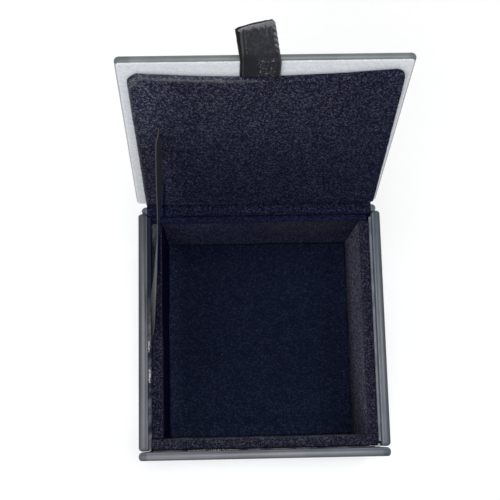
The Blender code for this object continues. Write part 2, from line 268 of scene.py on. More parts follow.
# %% Nap group
nap_group, given, results = new_group(
    "velvet nap", {"Tuft size": 0.00042, "Crush size": 0.009, "Tall": 1.0}, ("Tuft", "Crush", "Glint", "Hue"))
squeeze = combine(1.0, 1.0, sums("DIVIDE", 1.0, given["Tall"]))
place = wire("ShaderNodeMapping", {"Vector": wire("ShaderNodeTexCoord", out="Object"), "Scale": squeeze})
tuft_scale, crush_scale = (sums("DIVIDE", 1.0, given[size]) for size in ("Tuft size", "Crush size"))
fine = wire("ShaderNodeTexNoise", {"Vector": place, "Scale": tuft_scale, "Detail": 3.0, "Roughness": 0.7})
wide = wire("ShaderNodeTexNoise", {"Vector": place, "Scale": crush_scale, "Detail": 3.0, "Roughness": 0.6,
                                   "Distortion": 0.6})
cells = wire("ShaderNodeTexVoronoi", {"Vector": place, "Scale": tuft_scale}, out="Color")
luck, hue = (wire("ShaderNodeSeparateColor", {0: cells}, out=channel) for channel in (0, 1))
sparseness = 3.4
feed(results, {"Tuft": fade(fine, 0.36, 0.66), "Crush": fade(wide, 0.25, 0.75),
               "Glint": sums("POWER", luck, sparseness), "Hue": hue})
print("nap group:", [s.name for s in results if s.name])

# %% [markdown]
# Satin is woven with long floats, so it shows fine threads along the ribbon and a firmer border at each
# edge. This group reads the ribbon's own UV map: U is metres across and V is metres along.

# %% Satin group
tab_width, stay_width = 0.0127, 0.0100
thread_pitch = 0.00022
satin_group, given, results = new_group(
    "satin weave", {"Width": tab_width}, ("Thread height", "Float", "Selvedge"))
where = wire("ShaderNodeUVMap", uv_map="ribbon")
across, along = (wire("ShaderNodeSeparateXYZ", {0: where}, out=way) for way in "XY")
weft = sums("SINE", times(along, math.tau / thread_pitch))
shift = times(sums("SIGN", weft), math.pi / 2)
warp = sums("SINE", sums("ADD", times(across, math.tau / thread_pitch), shift))
long_lumps = wire("ShaderNodeMapping", {"Vector": where, "Scale": (6000, 450, 1)})
floats = wire("ShaderNodeTexNoise", {"Vector": long_lumps, "Scale": 1.0, "Detail": 2.0})
edge = sums("ABSOLUTE", sums("SUBTRACT", sums("DIVIDE", across, given["Width"]), 0.5))
feed(results, {"Thread height": sums("MULTIPLY_ADD", times(warp, weft), 0.25, 0.5),
               "Float": fade(floats, 0.3, 0.7), "Selvedge": fade(edge, 0.462, 0.474)})
print("satin group:", [s.name for s in results if s.name])

# %% [markdown]
# A pane has three surfaces: the mirror that faces out, the polished edge, and the painted silver that
# faces in. The pane's mesh carries a number called through, 0 on the inner face and 1 on the outer
# one, and this group turns it into masks. The silver's border is slightly ragged, as on hand-cut mirror.

# %% Pane group
silver_end = ragged = 0.06
pane_group, given, results = new_group(
    "pane layers", {"Mirror start": 0.93}, ("Mirror", "Silver", "Depth", "Smear", "Streak"))
through = painted("through")
silver_edge = sums("ADD", silver_end, times(sums("SUBTRACT", grain(0.0009, 3.0, 0.7), 0.5), ragged))
feed(results, {
    "Silver": sums("GREATER_THAN", silver_edge, through),
    "Mirror": sums("GREATER_THAN", through, given["Mirror start"]),
    "Depth": through,
    "Smear": fade(grain(0.022, 4.0, 0.6), 0.42, 0.75),
    "Streak": grain(0.0016, 4.0, 0.75, (0.12, 1.0, 1.0)),
})
print("pane group:", [s.name for s in results if s.name])


# %% [markdown]
# ## Finishes
#
# Each finish places the groups above in one Principled material. Plain numbers such as sheen stay on
# the shader's own sockets.


# %% Velvet and felt
# Painted light and shade: a pale tint for painted light, and a dark tint and a deep blue-black for painted shade.
painted_light_tint, painted_shade_tint, painted_deep_shade = (5.0, 5.0, 4.3), (0.06, 0.12, 0.41), (0.0008, 0.0026, 0.0250)
cool_glint, warm_glint = (0.75, 0.98, 1.2), (1.2, 0.98, 0.85)


def velvet(name, dark, light, glint, tuft=0.00042, crush=0.009, tall=1.0, wear_and_painted_light=(0.085, 0.092, 0.104), sheen=0.0):
    """Pile cloth: a dark ground, tufts that each catch some light, wear and painted sheen, painted light and
    shade.
    """
    material, shader = new_material(name, Roughness=0.95, Specular_IOR_Level=0.05, Sheen_Weight=sheen,
                                    Sheen_Roughness=0.45, Sheen_Tint=(0.55, 0.60, 0.90))
    nap = use_group(nap_group, {"Tuft size": tuft, "Crush size": crush, "Tall": tall})
    ground = mix(sums("MULTIPLY_ADD", nap["Tuft"], 0.75, times(nap["Crush"], 0.25)), dark, light)
    cool, warm = ([g * share for g, share in zip(glint, hue)] for hue in (cool_glint, warm_glint))
    lit = mix(nap["Glint"], ground, mix(nap["Hue"], cool, warm))
    # The mesh's painted light makes the cloth paler. Its painted shade makes it darker, and blue-black where it is
    # deepest.
    light_share, shade_share = ups_and_downs("painted_light_and_shade")
    light_shade_paint = mix(shade_share, mix(light_share, lit, tinted(lit, painted_light_tint)), tinted(lit, painted_shade_tint))
    light_shade_paint = mix(fade(shade_share, 0.80, 0.93), light_shade_paint, painted_deep_shade)
    # Paler where the mesh carries wear, and where it carries a painted sheen.
    paler = times(painted("wear_and_painted_light"), fade(grain(0.0007, 3.0, 0.7), 0.3, 0.62))
    height = sums("MULTIPLY_ADD", nap["Crush"], 1.2, nap["Tuft"])
    feed(shader, {"Base Color": mix(paler, light_shade_paint, wear_and_painted_light), "Normal": bump(height, 0.00022, 0.8)})
    return material


velvet_pad = velvet("velvet_pad", (0.0034, 0.0047, 0.0185), (0.0160, 0.0180, 0.0390), (0.118, 0.122, 0.165),
                    tall=1.5, wear_and_painted_light=(0.182, 0.184, 0.180))
velvet_lining = velvet("velvet_lining", (0.0034, 0.0042, 0.0165), (0.0155, 0.0165, 0.0345), (0.096, 0.094, 0.122),
                       tall=1.6, wear_and_painted_light=(0.112, 0.122, 0.136))
velvet_back = velvet("velvet_back", (0.0040, 0.0056, 0.0280), (0.0165, 0.0190, 0.0520), (0.086, 0.090, 0.140),
                     tall=1.6, wear_and_painted_light=(0.130, 0.120, 0.105))
velvet_floor = velvet("velvet_floor", (0.0021, 0.0050, 0.0198), (0.0098, 0.0140, 0.0370), (0.022, 0.028, 0.054),
                      0.0006, 0.006)
felt = velvet("felt", (0.008, 0.008, 0.009), (0.028, 0.028, 0.030), (0.05, 0.05, 0.05), 0.0007, 0.004, sheen=0.1)
print("cloths:", velvet_pad.name, velvet_lining.name, velvet_back.name, velvet_floor.name, felt.name)


# %% Satin
def satin_finish(name, width):
    """Black satin for a ribbon of one width: floats, a firmer paler border, painted highlights and painted shade
    where the mesh carries them.
    """
    material, shader = new_material(name, Specular_IOR_Level=0.22, Anisotropic=0.5)
    weave = use_group(satin_group, {"Width": width})
    cockle = fade(grain(0.00055, 3.0, 0.75), 0.30, 0.72)
    ground = tinted(mix(weave["Float"], (0.0024, 0.0025, 0.0062), (0.0180, 0.0185, 0.0295)),
                    mix(cockle, (0.45, 0.46, 0.50), (1.9, 1.85, 1.8)))
    bordered = mix(weave["Selvedge"], ground, (0.050, 0.052, 0.060))
    # Painted highlights lighten the satin and painted shade darkens it almost to black.
    shine, shade = ups_and_downs("wear_and_painted_light")
    feed(shader, {
        "Base Color": mix(shine, mix(shade, bordered, (0.002, 0.002, 0.003)), (0.40, 0.405, 0.42)),
        "Roughness": between(weave["Float"], 0.44, 0.28),
        "Normal": bump(weave["Thread height"], 0.00005, 0.6),
    })
    return material


def two_tone(name, mask, dark, light, relief=0.0, strength=0.5, **plain):
    """A finish that runs between two colours by a mask, which is made once the material is open."""
    material, shader = new_material(name, **plain)
    share = mask()
    feed(shader, {"Base Color": mix(share, dark, light)})
    if relief:
        feed(shader, {"Normal": bump(share, relief, strength)})
    return material


def twist_lines():
    """The mask of a thread's twist."""
    return fade(grain(0.0003), 0.3, 0.7)


satin_tab, satin_stay = satin_finish("satin_half_inch", tab_width), satin_finish("satin_ten_mm", stay_width)
thread = two_tone("selvedge_thread", twist_lines, (0.030, 0.031, 0.036), (0.115, 0.118, 0.130),
                  Roughness=0.5, Specular_IOR_Level=0.3)
dark_thread = two_tone("dark_thread", twist_lines, (0.006, 0.006, 0.009), (0.034, 0.035, 0.042),
                       Roughness=0.6, Specular_IOR_Level=0.2)
print("ribbon finishes:", satin_tab.name, satin_stay.name, thread.name, dark_thread.name)


# %% [markdown]
# The lid's edge is seen nearly along the mirror, so its outer half shows the sky and looks white, while the
# walls' rims look into the grey glass. The two finishes differ in where the mirror starts, in the painted
# light and shade across their edges and at the box's left and right, and in the silver, which has brownish
# stains and pale specks along the open lid's top.


# %% Mirror glass
top_start, top_end = 0.1568, 0.1582  # the height of the open lid's far edge
side_blend, sparkle_blend = 0.0012, 0.0016


def mirror_glass(name, mirror_start, edge_shading_steps, paint_dark, paint_light, side_from, side_shading, sparkle_from=1.0):
    """Silvered glass: mirror outside, grey-green polished edge with painted light and shade, painted silver
    inside.
    """
    material, shader = new_material(name, Coat_Roughness=0.04, IOR=1.5)
    layers = use_group(pane_group, {"Mirror start": mirror_start})
    across, height = own("X"), own("Z")
    shade = fade(grain(0.018, 3.0, 0.6), 0.25, 0.75)
    # The edge's colour steps across its depth are painted light and shade on its rounding.
    edge = tinted(colour_steps(layers["Depth"], edge_shading_steps), mix(shade, (0.72, 0.74, 0.76), (1.12, 1.12, 1.10)))
    at_top, outwards = fade(height, top_start, top_end), fade(layers["Depth"], 0.06, 0.42)
    # Painted light and shade on the edge at the box's left and right, and a darker tint at the open lid's top.
    for way, inner, outer in side_shading:
        at_side = fade(times(across, way), side_from, side_from + side_blend)
        tint = mix(at_top, mix(outwards, inner, outer), (0.72, 0.74, 0.78))
        edge = mix(at_side, edge, tinted(edge, tint))

    mottle = fade(grain(0.0013, 4.0, 0.8), 0.30, 0.70)
    paint = mix(layers["Streak"], paint_dark, paint_light)
    paint = tinted(paint, mix(mottle, (0.90, 0.905, 0.91), (1.09, 1.085, 1.08)))
    bare = [dark * share for dark, share in zip(paint_dark, (0.55, 0.5, 0.45))]
    paint = mix(fade(grain(0.0005), 0.66, 0.74), paint, bare)
    # Brownish stains and pale specks along the open lid's top.
    border = fade(height, sparkle_from, sparkle_from + sparkle_blend)
    stain = times(border, fade(grain(0.010), 0.50, 0.70))
    paint = mix(times(stain, 0.6), paint, (0.56, 0.52, 0.47))
    paint = mix(times(border, fade(grain(0.0009), 0.50, 0.62)), paint, (0.98, 0.96, 0.92))

    foxing = times(fade(grain(0.017), 0.60, 0.74), fade(grain(0.0007), 0.60, 0.68))
    mirror = mix(foxing, mix(layers["Smear"], (0.675, 0.710, 0.720), (0.640, 0.675, 0.685)), (0.34, 0.35, 0.35))
    polished = between(layers["Mirror"], 0.32, between(layers["Smear"], 0.03, 0.07))
    ground_lines = grain(0.0006, 3.0, 0.7, (0.04, 0.04, 0.04))
    relief = sums("ADD", times(layers["Streak"], layers["Silver"]), times(ground_lines, 0.3))
    feed(shader, {
        "Base Color": mix(layers["Silver"], mix(layers["Mirror"], edge, mirror), paint),
        "Metallic": layers["Mirror"],
        "Roughness": between(layers["Silver"], polished, 0.6),
        "Normal": bump(relief, 0.00004, 0.6),
    })
    return material


# Painted light and shade across a rim: pale at the inner rounding, a dark dip, a paler middle, a dark outer
# rounding.
rim_shading_steps = ((0.0, (0.275, 0.290, 0.325)), (0.08, (0.275, 0.290, 0.320)), (0.20, (0.118, 0.127, 0.150)),
             (0.32, (0.145, 0.157, 0.182)), (0.50, (0.154, 0.166, 0.190)), (0.68, (0.134, 0.144, 0.165)),
             (0.86, (0.072, 0.079, 0.092)), (1.0, (0.030, 0.033, 0.039)))
# Across the lid's edge: pale at the silvered side, grey-green glass, and a painted reflection of the white
# surround towards the mirror.
lid_shading_steps = ((0.0, (0.26, 0.28, 0.285)), (0.12, (0.150, 0.166, 0.168)), (0.6, (0.142, 0.160, 0.162)),
             (1.0, (0.22, 0.245, 0.25)))
# Painted shade on the left rims and on the right rim's outer half, painted light on its inner half.
wall_side_shading = ((-1, (0.58, 0.59, 0.61), (0.48, 0.49, 0.51)), (1, (1.15, 1.22, 1.36), (0.46, 0.50, 0.56)))
# Painted light on the lid's edge near its left and right ends.
lid_side_shading = [(way, tint, tint) for way, tint in ((-1, (2.5, 2.4, 2.4)), (1, (1.9, 1.9, 1.9)))]
wall_glass = mirror_glass("wall_mirror_glass", 0.96, rim_shading_steps, (0.100, 0.112, 0.134), (0.190, 0.208, 0.240),
                          0.0474, wall_side_shading)
lid_glass = mirror_glass("lid_mirror_glass", 0.80, lid_shading_steps, (0.72, 0.75, 0.79), (0.92, 0.95, 0.99),
                         0.0455, lid_side_shading, 0.1578)
print("glass:", wall_glass.name, lid_glass.name)

# %% Glue, card and lint
glue = two_tone("dried_glue", lambda: fade(grain(0.0012, 3.0), 0.35, 0.65), (0.22, 0.23, 0.25), (0.50, 0.52, 0.54),
                0.00008, Roughness=0.3, IOR=1.48, Transmission_Weight=0.25)
card = two_tone("grey_card", lambda: grain(0.0008, 4.0, 0.7, (1.0, 1.0, 0.3)), (0.20, 0.19, 0.175),
                (0.40, 0.385, 0.36), 0.00008, Roughness=0.9)
lint = two_tone("lint", lambda: fade(grain(0.004, 1.0), 0.35, 0.65), (0.05, 0.05, 0.065), (0.34, 0.35, 0.38),
                Roughness=0.85, Sheen_Weight=0.3)
silver_flake = two_tone("silver_flake", lambda: grain(0.0006, 3.0), (0.16, 0.17, 0.19), (0.48, 0.50, 0.53),
                        Roughness=0.45, Metallic=0.3)
print("small finishes:", glue.name, card.name, lint.name, silver_flake.name)


# %% [markdown]
# ## Making pieces
#
# Every finished piece ends the same way: a plain mesh at the origin, with its material, riding on its
# body and standing for the CAD node that it replaces.


# %% Piece helpers
def finish_piece(name, mesh, material, body, nodes=()):
    """Links a mesh as a piece of the object, gives it its finish and hangs it on its body."""
    mesh.name = name
    mesh.materials.clear()
    mesh.materials.append(material)
    piece = bpy.data.objects.new(name, mesh)
    bpy.context.scene.collection.objects.link(piece)
    if body:
        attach(piece, body)
    if nodes:
        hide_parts(*nodes)
    print(name, "faces", len(mesh.polygons))
    return piece


def clamp(value):
    """A value kept from 0 to 1."""
    return min(1.0, max(0.0, value))


def ease(value, low, high):
    """0 below low, 1 above high and smooth between them."""
    t = clamp((value - low) / (high - low))
    return t * t * (3 - 2 * t)


def wander(*place):
    """Smooth noise about 0 at a place."""
    return noise.noise(Vector(place))


lid_front, lid_depth, lid_middle = -0.0524, 0.1040, -0.0012
right_spread, left_spread = 0.0225, 0.0160


def widen_lid(mesh, left=left_spread):
    """Spreads the closed lid's pieces sideways towards the hinge, as the photograph shows them."""
    for vert in mesh.vertices:
        share = clamp((vert.co.y - lid_front) / lid_depth)
        spread = right_spread * share ** 0.4 if vert.co.x > 0 else left * share ** 0.25
        vert.co.x += (vert.co.x - lid_middle) * spread


def bm_mesh(bm):
    """A bmesh as a mesh."""
    mesh = bpy.data.meshes.new("made")
    bm.to_mesh(mesh)
    bm.free()
    return mesh


def plain_mesh(bm, turn=None):
    """A bmesh as a smooth mesh whose faces point out. A turn opens the lid's cloth, widened at its right."""
    bmesh.ops.recalc_face_normals(bm, faces=bm.faces)
    mesh = bm_mesh(bm)
    if turn:
        widen_lid(mesh, 0.0)
        mesh.transform(turn)
    mesh.shade_smooth()
    mesh.set_sharp_from_angle(angle=math.radians(40))
    return mesh


def float_layers(bm, *labels):
    """Values that each point of a bmesh will carry."""
    return [bm.verts.layers.float.new(label) for label in labels]


def skin(bm, rings):
    """Faces from ring to ring, and one face over each end."""
    for lower, upper in zip(rings, rings[1:]):
        for i, vert in enumerate(lower):
            j = (i + 1) % len(lower)
            bm.faces.new((vert, lower[j], upper[j], upper[i]))
    bm.faces.new(rings[0])
    bm.faces.new(rings[-1])


def line_mesh(points):
    """A mesh of edges along points, for a geometry tree to follow."""
    mesh = bpy.data.meshes.new("line")
    mesh.from_pydata([tuple(p) for p in points], [(i, i + 1) for i in range(len(points) - 1)], [])
    return mesh


# %% [markdown]
# Some pieces grow from a geometry tree. A tree runs as a modifier on a mesh, and what it makes becomes a
# plain mesh, so nothing is left for a viewer to evaluate.


# %% Growing meshes
def new_tree(name, given):
    """Opens a geometry tree with named inputs. Gives back it and its input values."""
    made = open_tree(bpy.data.node_groups.new(name, "GeometryNodeTree"))
    made.interface.new_socket("Geometry", in_out="INPUT", socket_type="NodeSocketGeometry")
    for label, value in given.items():
        kind = "NodeSocketInt" if isinstance(value, int) else "NodeSocketFloat"
        made.interface.new_socket(label, in_out="INPUT", socket_type=kind).default_value = value
    made.interface.new_socket("Geometry", in_out="OUTPUT", socket_type="NodeSocketGeometry")
    return made, tree.nodes.new("NodeGroupInput").outputs


def close_tree(geometry, material):
    """Ends a geometry tree as the export needs it: real meshes with a material."""
    real = wire("GeometryNodeRealizeInstances", {0: geometry})
    done = wire("GeometryNodeSetMaterial", {"Geometry": real, "Material": material})
    feed(tree.nodes.new("NodeGroupOutput").inputs, {0: done})


def grown(recipe, values, source=None):
    """Runs a geometry tree on a mesh and gives back what it makes as a plain mesh."""
    holder = bpy.data.objects.new("holder", source or bpy.data.meshes.new("seed"))
    bpy.context.scene.collection.objects.link(holder)
    modifier = holder.modifiers.new("grow", "NODES")
    modifier.node_group = recipe
    names = {item.name: item.identifier for item in recipe.interface.items_tree if item.in_out == "INPUT"}
    for name, value in values.items():
        modifier[names[name]] = value
    made = bpy.data.meshes.new_from_object(holder.evaluated_get(bpy.context.evaluated_depsgraph_get()))
    bpy.data.objects.remove(holder)
    return made


def all_grown(recipe, cases):
    """Grows one mesh from several (values, source) pairs."""
    bm = bmesh.new()
    for values, source in cases:
        bm.from_mesh(grown(recipe, values, source))
    return bm_mesh(bm)


def random_value(low, high, seed):
    """A Random Value node: a vector if its limits are vectors, else a plain value."""
    if isinstance(low, tuple):
        return wire("FunctionNodeRandomValue", {0: low, 1: high, "Seed": seed}, data_type="FLOAT_VECTOR")
    return wire("FunctionNodeRandomValue", {2: low, 3: high, "Seed": seed}, out=1, data_type="FLOAT")


def scaled(vector, factor):
    """A vector times a value."""
    return wire("ShaderNodeVectorMath", {0: vector, 3: factor}, operation="SCALE")


def moved(geometry, **change):
    """Geometry after a Translation or a Scale."""
    return wire("GeometryNodeTransform", {"Geometry": geometry, **change})


def spaced(mesh, label, value):
    """A mesh of edges as a curve with even points, by their Length or their Count."""
    curve = wire("GeometryNodeMeshToCurve", {"Mesh": mesh})
    return wire("GeometryNodeResampleCurve", {"Curve": curve, label: value}, mode=label.upper())


def placed(points, shape, rotation, scale):
    """A copy of a shape at each point."""
    return wire("GeometryNodeInstanceOnPoints", {
        "Points": points, "Instance": shape, "Rotation": rotation, "Scale": scale})


# %% [markdown]
# ## The glass panes
#
# All six panes follow one rule: a rounded rectangle with a half-round edge swept round it and a flat
# face on each side. A sweep is a curve job, so one geometry tree makes them all from a width, a height
# and a thickness. A bevelled cube would do too, but its corners would lack the ground-off tips.

# %% Pane tree
pane_tree, given = new_tree("pane", {
    "Width": 0.1, "Height": 0.05, "Thickness": 0.003, "Edge": 0.0014, "Tip": 0.0004, "Edge points": 15})
half = times(given["Thickness"], 0.5)
outline = wire("GeometryNodeCurvePrimitiveQuadrilateral", {
    side: sums("SUBTRACT", given[side], times(given["Edge"], 2.0)) for side in ("Width", "Height")})
outline = wire("GeometryNodeFilletCurve", {"Curve": outline, "Count": 4, "Radius": given["Tip"]}, mode="POLY")
round_edge = wire("GeometryNodeCurveArc", {
    "Resolution": given["Edge points"], "Radius": 1.0, "Start Angle": -math.pi / 2, "Sweep Angle": math.pi},
    mode="RADIUS")
round_edge = moved(round_edge, Scale=combine(given["Edge"], half, 1.0))
swept = wire("GeometryNodeCurveToMesh", {"Curve": outline, "Profile Curve": round_edge})
swept = wire("GeometryNodeSetShadeSmooth", {"Geometry": swept, "Shade Smooth": True})
face = wire("GeometryNodeFillCurve", {"Curve": outline}, mode="NGONS")
outer = moved(face, Translation=combine(0.0, 0.0, half))
inner = moved(wire("GeometryNodeFlipFaces", {0: face}), Translation=combine(0.0, 0.0, times(half, -1.0)))
join = tree.nodes.new("GeometryNodeJoinGeometry")
for part in (swept, outer, inner):
    feed(join.inputs, {0: part})
pane = wire("GeometryNodeMergeByDistance", {"Geometry": join.outputs[0], "Distance": 1e-6})
height = wire("ShaderNodeSeparateXYZ", {0: wire("GeometryNodeInputPosition")}, out="Z")
share = sums("ADD", sums("DIVIDE", height, given["Thickness"]), 0.5)
pane = wire("GeometryNodeStoreNamedAttribute", {"Geometry": pane, "Name": "through", "Value": share},
            data_type="FLOAT", domain="POINT")
close_tree(pane, wall_glass)

# %% [markdown]
# Each pane is made lying flat with its mirror side up, and a matrix stands it in its place. The three
# directions below are the pane's width, its height and the way its mirror faces. Hand-cut glass is never
# quite true, and the table holds how far each pane's low and high corners lie off the CAD ones.

# %% Panes
proud, lid_slant, left_lean = 0.00055, 0.0006, 0.0002
front_bow_out, front_bow_in = 0.0003, 0.0001
pane_shifts = {
    "left_pane": ((-proud, 0, 0), (0, 0.0005, 0)),
    "right_pane": ((0, 0, 0), (proud, 0.0005, 0)),
    "front_pane": ((-proud, -proud, 0), (proud, 0, 0)),
    "back_pane": ((0.0008, 0, 0), (-0.0009, 0, 0)),
    "lid_pane": ((0, 0.0002, 0), (0, 0, 0)),
    "base_pane": ((0, 0, 0), (0, 0, 0)),
}


def stand_pane(node, wide, tall, material=wall_glass, tip=0.0004):
    """Makes one pane to its size and stands it in its place, mirror side out."""
    on_lid = node == "lid_pane"
    corners = node_box(node, to_closed if on_lid else Matrix())
    low, high = (corner + Vector(shift) for corner, shift in zip(corners, pane_shifts[node]))
    size, middle, out = high - low, (high + low) / 2, wide.cross(tall)
    measure = [abs(size.dot(way)) for way in (wide, tall, out)]
    made = grown(pane_tree, {**dict(zip(("Width", "Height", "Thickness"), measure)), "Tip": tip})
    made.transform(Matrix.Translation(middle) @ Matrix((wide, tall, out)).transposed().to_4x4())
    for vert in made.vertices:
        left_share, front_share = (high.x - vert.co.x) / size.x, (high.y - vert.co.y) / size.y
        if on_lid:
            vert.co.y += lid_slant * left_share * front_share
        if node == "front_pane":
            vert.co.y -= (front_bow_out if front_share > 0.5 else front_bow_in) * (1 - left_share)
        if node == "left_pane" and left_share < 0.5:
            vert.co.x += left_lean * (1 + front_share)
    if on_lid:
        widen_lid(made)
        made.transform(to_open)
    body = "lid" if on_lid else "box"
    finish_piece(node.replace("pane", "mirror"), made, material, body, [node])


right, back, up = Vector((1, 0, 0)), Vector((0, 1, 0)), Vector((0, 0, 1))
stand_pane("front_pane", right, up)
stand_pane("back_pane", -right, up, tip=0.0013)
stand_pane("left_pane", -back, up)
stand_pane("right_pane", back, up)
stand_pane("base_pane", right, -back)
stand_pane("lid_pane", right, back, lid_glass)


# %% [markdown]
# ## Velvet over card
#
# A liner is a strip of card with velvet drawn over it and tucked under. What shows is a soft rolled top
# edge and faces that are never quite flat. A loft through rings gives full control: up the hidden
# inside, round the bottom hem, up the outside, over the roll and in to the middle of the top. The rings
# are then pushed about by a slow noise, less than the gap to the next piece.
#
# Each point also carries three values for its finish: nap, where pile may grow; one that makes it paler,
# for wear and for a painted sheen; and one for painted light (pale) and painted shade (dark).


# %% Cloth loft
slow_wave, quick_wave, roll_steps = 0.013, 0.004, 6


def sides_of(points):
    """The sides of a closed outline, as pairs of corners."""
    return [(Vector(a), Vector(b)) for a, b in zip(points, points[1:] + points[:1])]


def quarter(centre, radius, start, steps=6):
    """Points of a quarter turn about a centre, from an angle in quarter turns."""
    angles = [(start + i / steps) * math.pi / 2 for i in range(steps + 1)]
    return [(centre[0] + radius * math.cos(a), centre[1] + radius * math.sin(a)) for a in angles]


def cloth_cap(outline, bottom, top, roll, crown, ripple, seed, wall_step=0.004, rings_in=8, spacing=0.0022,
              shape=None):
    """Velvet drawn over a board and open below. outline(inset) gives its plan at an inset from the edge."""
    way = 1 if top > bottom else -1
    base_steps = [max(1, round((b - a).length / spacing)) for a, b in sides_of(outline(0))]

    def evenly(points):
        """Points along an outline at an even spacing, as many as on the first ring."""
        steps = [max(1, round((b - a).length / spacing)) for a, b in sides_of(points)]
        if sum(steps) != sum(base_steps):
            steps = base_steps
        return [tuple(a.lerp(b, i / n)) for (a, b), n in zip(sides_of(points), steps) for i in range(n)]

    base = evenly(outline(0))
    middle = Vector((sum(p[0] for p in base) / len(base), sum(p[1] for p in base) / len(base)))

    def ring(inset, z, shrink=1.0):
        """The outline drawn in by an inset and shrunk towards its middle."""
        return [(middle.x + (x - middle.x) * shrink, middle.y + (y - middle.y) * shrink, z)
                for x, y in evenly(outline(inset))]

    under, shoulder = top - way * cloth, top - way * roll
    hidden = [ring(cloth, under, 0.02), ring(cloth, under), ring(cloth, bottom)]
    levels = max(1, round(abs(shoulder - bottom) / wall_step))
    shown = [ring(0, bottom + (shoulder - bottom) * i / levels) for i in range(levels + 1)]
    light_and_wear = [0.0] * (len(hidden) + len(shown))
    # The roll's rings carry a painted sheen, strongest half way round it.
    for i in range(1, roll_steps + 1):
        a = i / roll_steps * math.pi / 2
        shown.append(ring(roll * (1 - math.cos(a)), top - way * roll * (1 - math.sin(a))))
        light_and_wear.append(0.6 * math.sin(2 * a) if i < roll_steps else 0.12)
    for i in range(1, rings_in + 1):
        share = 1 - i / (rings_in + 0.5)
        shown.append(ring(roll, top + way * crown * (1 - share ** 2), share))
        light_and_wear.append(0.0)

    bm = bmesh.new()
    napped, wear_and_painted_light, light_shade_paint = float_layers(bm, "nap", "wear_and_painted_light", "painted_light_and_shade")
    rings = []
    for number, points in enumerate(hidden + shown):
        made = []
        for point in map(Vector, points):
            offset, paler, painted_light_and_shade = Vector(), 0.0, 0.0
            if number >= len(hidden):
                slow = noise.noise_vector(point / slow_wave + Vector((seed, 0, 0)))
                quick = noise.noise_vector(point / quick_wave + Vector((0, seed, 0)))
                offset = (slow * 0.7 + quick * 0.3) * ripple
                if shape:
                    push, paler, painted_light_and_shade = shape(point)
                    offset += push
            vert = bm.verts.new(point + offset)
            vert[napped] = float(number > len(hidden))
            vert[wear_and_painted_light], vert[light_shade_paint] = clamp(light_and_wear[number] + paler), painted_light_and_shade
            made.append(vert)
        rings.append(made)
    skin(bm, rings)
    return bm


def block_plan(x0, x1, y0, y1):
    """A plain rectangle that shrinks evenly."""
    return lambda inset: [(x0 + inset, y0 + inset), (x1 - inset, y0 + inset), (x1 - inset, y1 - inset),
                          (x0 + inset, y1 - inset)]


# %% [markdown]
# The front liner wraps round the box's front corners, so its two outer corners are rounded. The side
# liners and the back one butt against it. A shape function gives a point's push, its wear and painted
# sheen, and its painted light and shade.

# %% Liners
right_inner, left_face = node_box("right_liner_velvet")[0].x, node_box("left_liner_velvet")[1].x
liner_corner, liner_flare = 0.0024, 0.0014
rubbed_spot, spot_radius = Vector((-0.0450, 0.0432, liner_top)), 0.0050


def front_plan(inset):
    """The front liner from above, with its two rounded front corners."""
    x0, x1 = liner_low.x - liner_flare + inset, liner_high.x - inset
    y0, y1 = liner_low.y + inset, liner_high.y - inset
    r = max(liner_corner - inset, 0.0002)
    return quarter((x0 + r, y0 + r), r, 2) + quarter((x1 - r, y0 + r), r, 3) + [(x1, y1), (x0, y1)]


def side_shape(point):
    """Painted light on the right liner's face, less near the floor, and painted shade on its top; painted shade on
    the left liner's top and face, deepest as the stay's shadow; and a rubbed spot at the back.
    """
    face_depth = clamp((liner_top - 0.0006 - point.z) / 0.0012)
    if point.x > 0:
        near_floor = clamp((point.z - floor_high.z) / 0.016)
        on_face = point.x < right_inner + 0.0008
        return Vector(), -0.45, face_depth * (0.35 + 0.65 * near_floor) if on_face else -0.18
    spot = (point - rubbed_spot) / spot_radius
    paler = max(0.0, 1 - Vector((spot.x * 1.6, spot.y, spot.z)).length) * 2.4
    # A painted shadow of the stay on the inner half of the left top, towards the back.
    shaded = ease(point.y, 0.014, 0.026) * ease(point.x, -0.0442, -0.0432)
    top_shade = -max(0.36 * (1 - face_depth), 0.94 * shaded)
    face_shade = -0.95 * face_depth * (point.x > left_face - 0.0008)
    flare = liner_flare * ease(-point.x, 0.0435, 0.0455) * ease(-point.y, 0.012, 0.038)
    near_edge = ease(point.x, left_face - 0.0026, left_face) * ease(point.z, liner_top - 0.012, liner_top - 0.001)
    softened = near_edge * (0.0002 + 0.0007 * ease(point.y, -0.012, 0.024))
    return Vector((-flare - softened, 0, 0)), min(0.9, paler) - 0.45 * (paler == 0), min(top_shade, face_shade)


def front_shape(point):
    """A wavy inner edge with a painted sheen along it that fades out at both ends, and a slight painted shade."""
    inner = ease(point.y, liner_high.y - 0.0022, liner_high.y - 0.0010)
    wave = 0.5 + 0.5 * wander(point.x / 0.006, 0.0, 8.0)
    ends = ease(abs(point.x), 0.037, 0.042)
    return Vector((0, 0.0005 * (wave - 0.6) * inner, 0)), inner * (0.35 + 0.8 * wave) * (1 - ends) - 0.9, -0.06


def liner(side, plan, seed, shape):
    """One velvet-covered liner, standing for its CAD node."""
    node = f"{side}_liner_velvet"
    low, high = node_box(node)
    bm = cloth_cap(plan, low.z, high.z, roll=0.0011, crown=0.0002, ripple=0.00024, seed=seed, shape=shape)
    return finish_piece(f"{side}_liner_cloth", plain_mesh(bm), velvet_lining, "box", [node])


liners = [liner("front", front_plan, 3.0, front_shape)]
for side, seed in (("left", 11.0), ("right", 17.0)):
    low, high = node_box(f"{side}_liner_velvet")
    liners.append(liner(side, block_plan(low.x, high.x, low.y - 0.8 * touch, high.y), seed, side_shape))

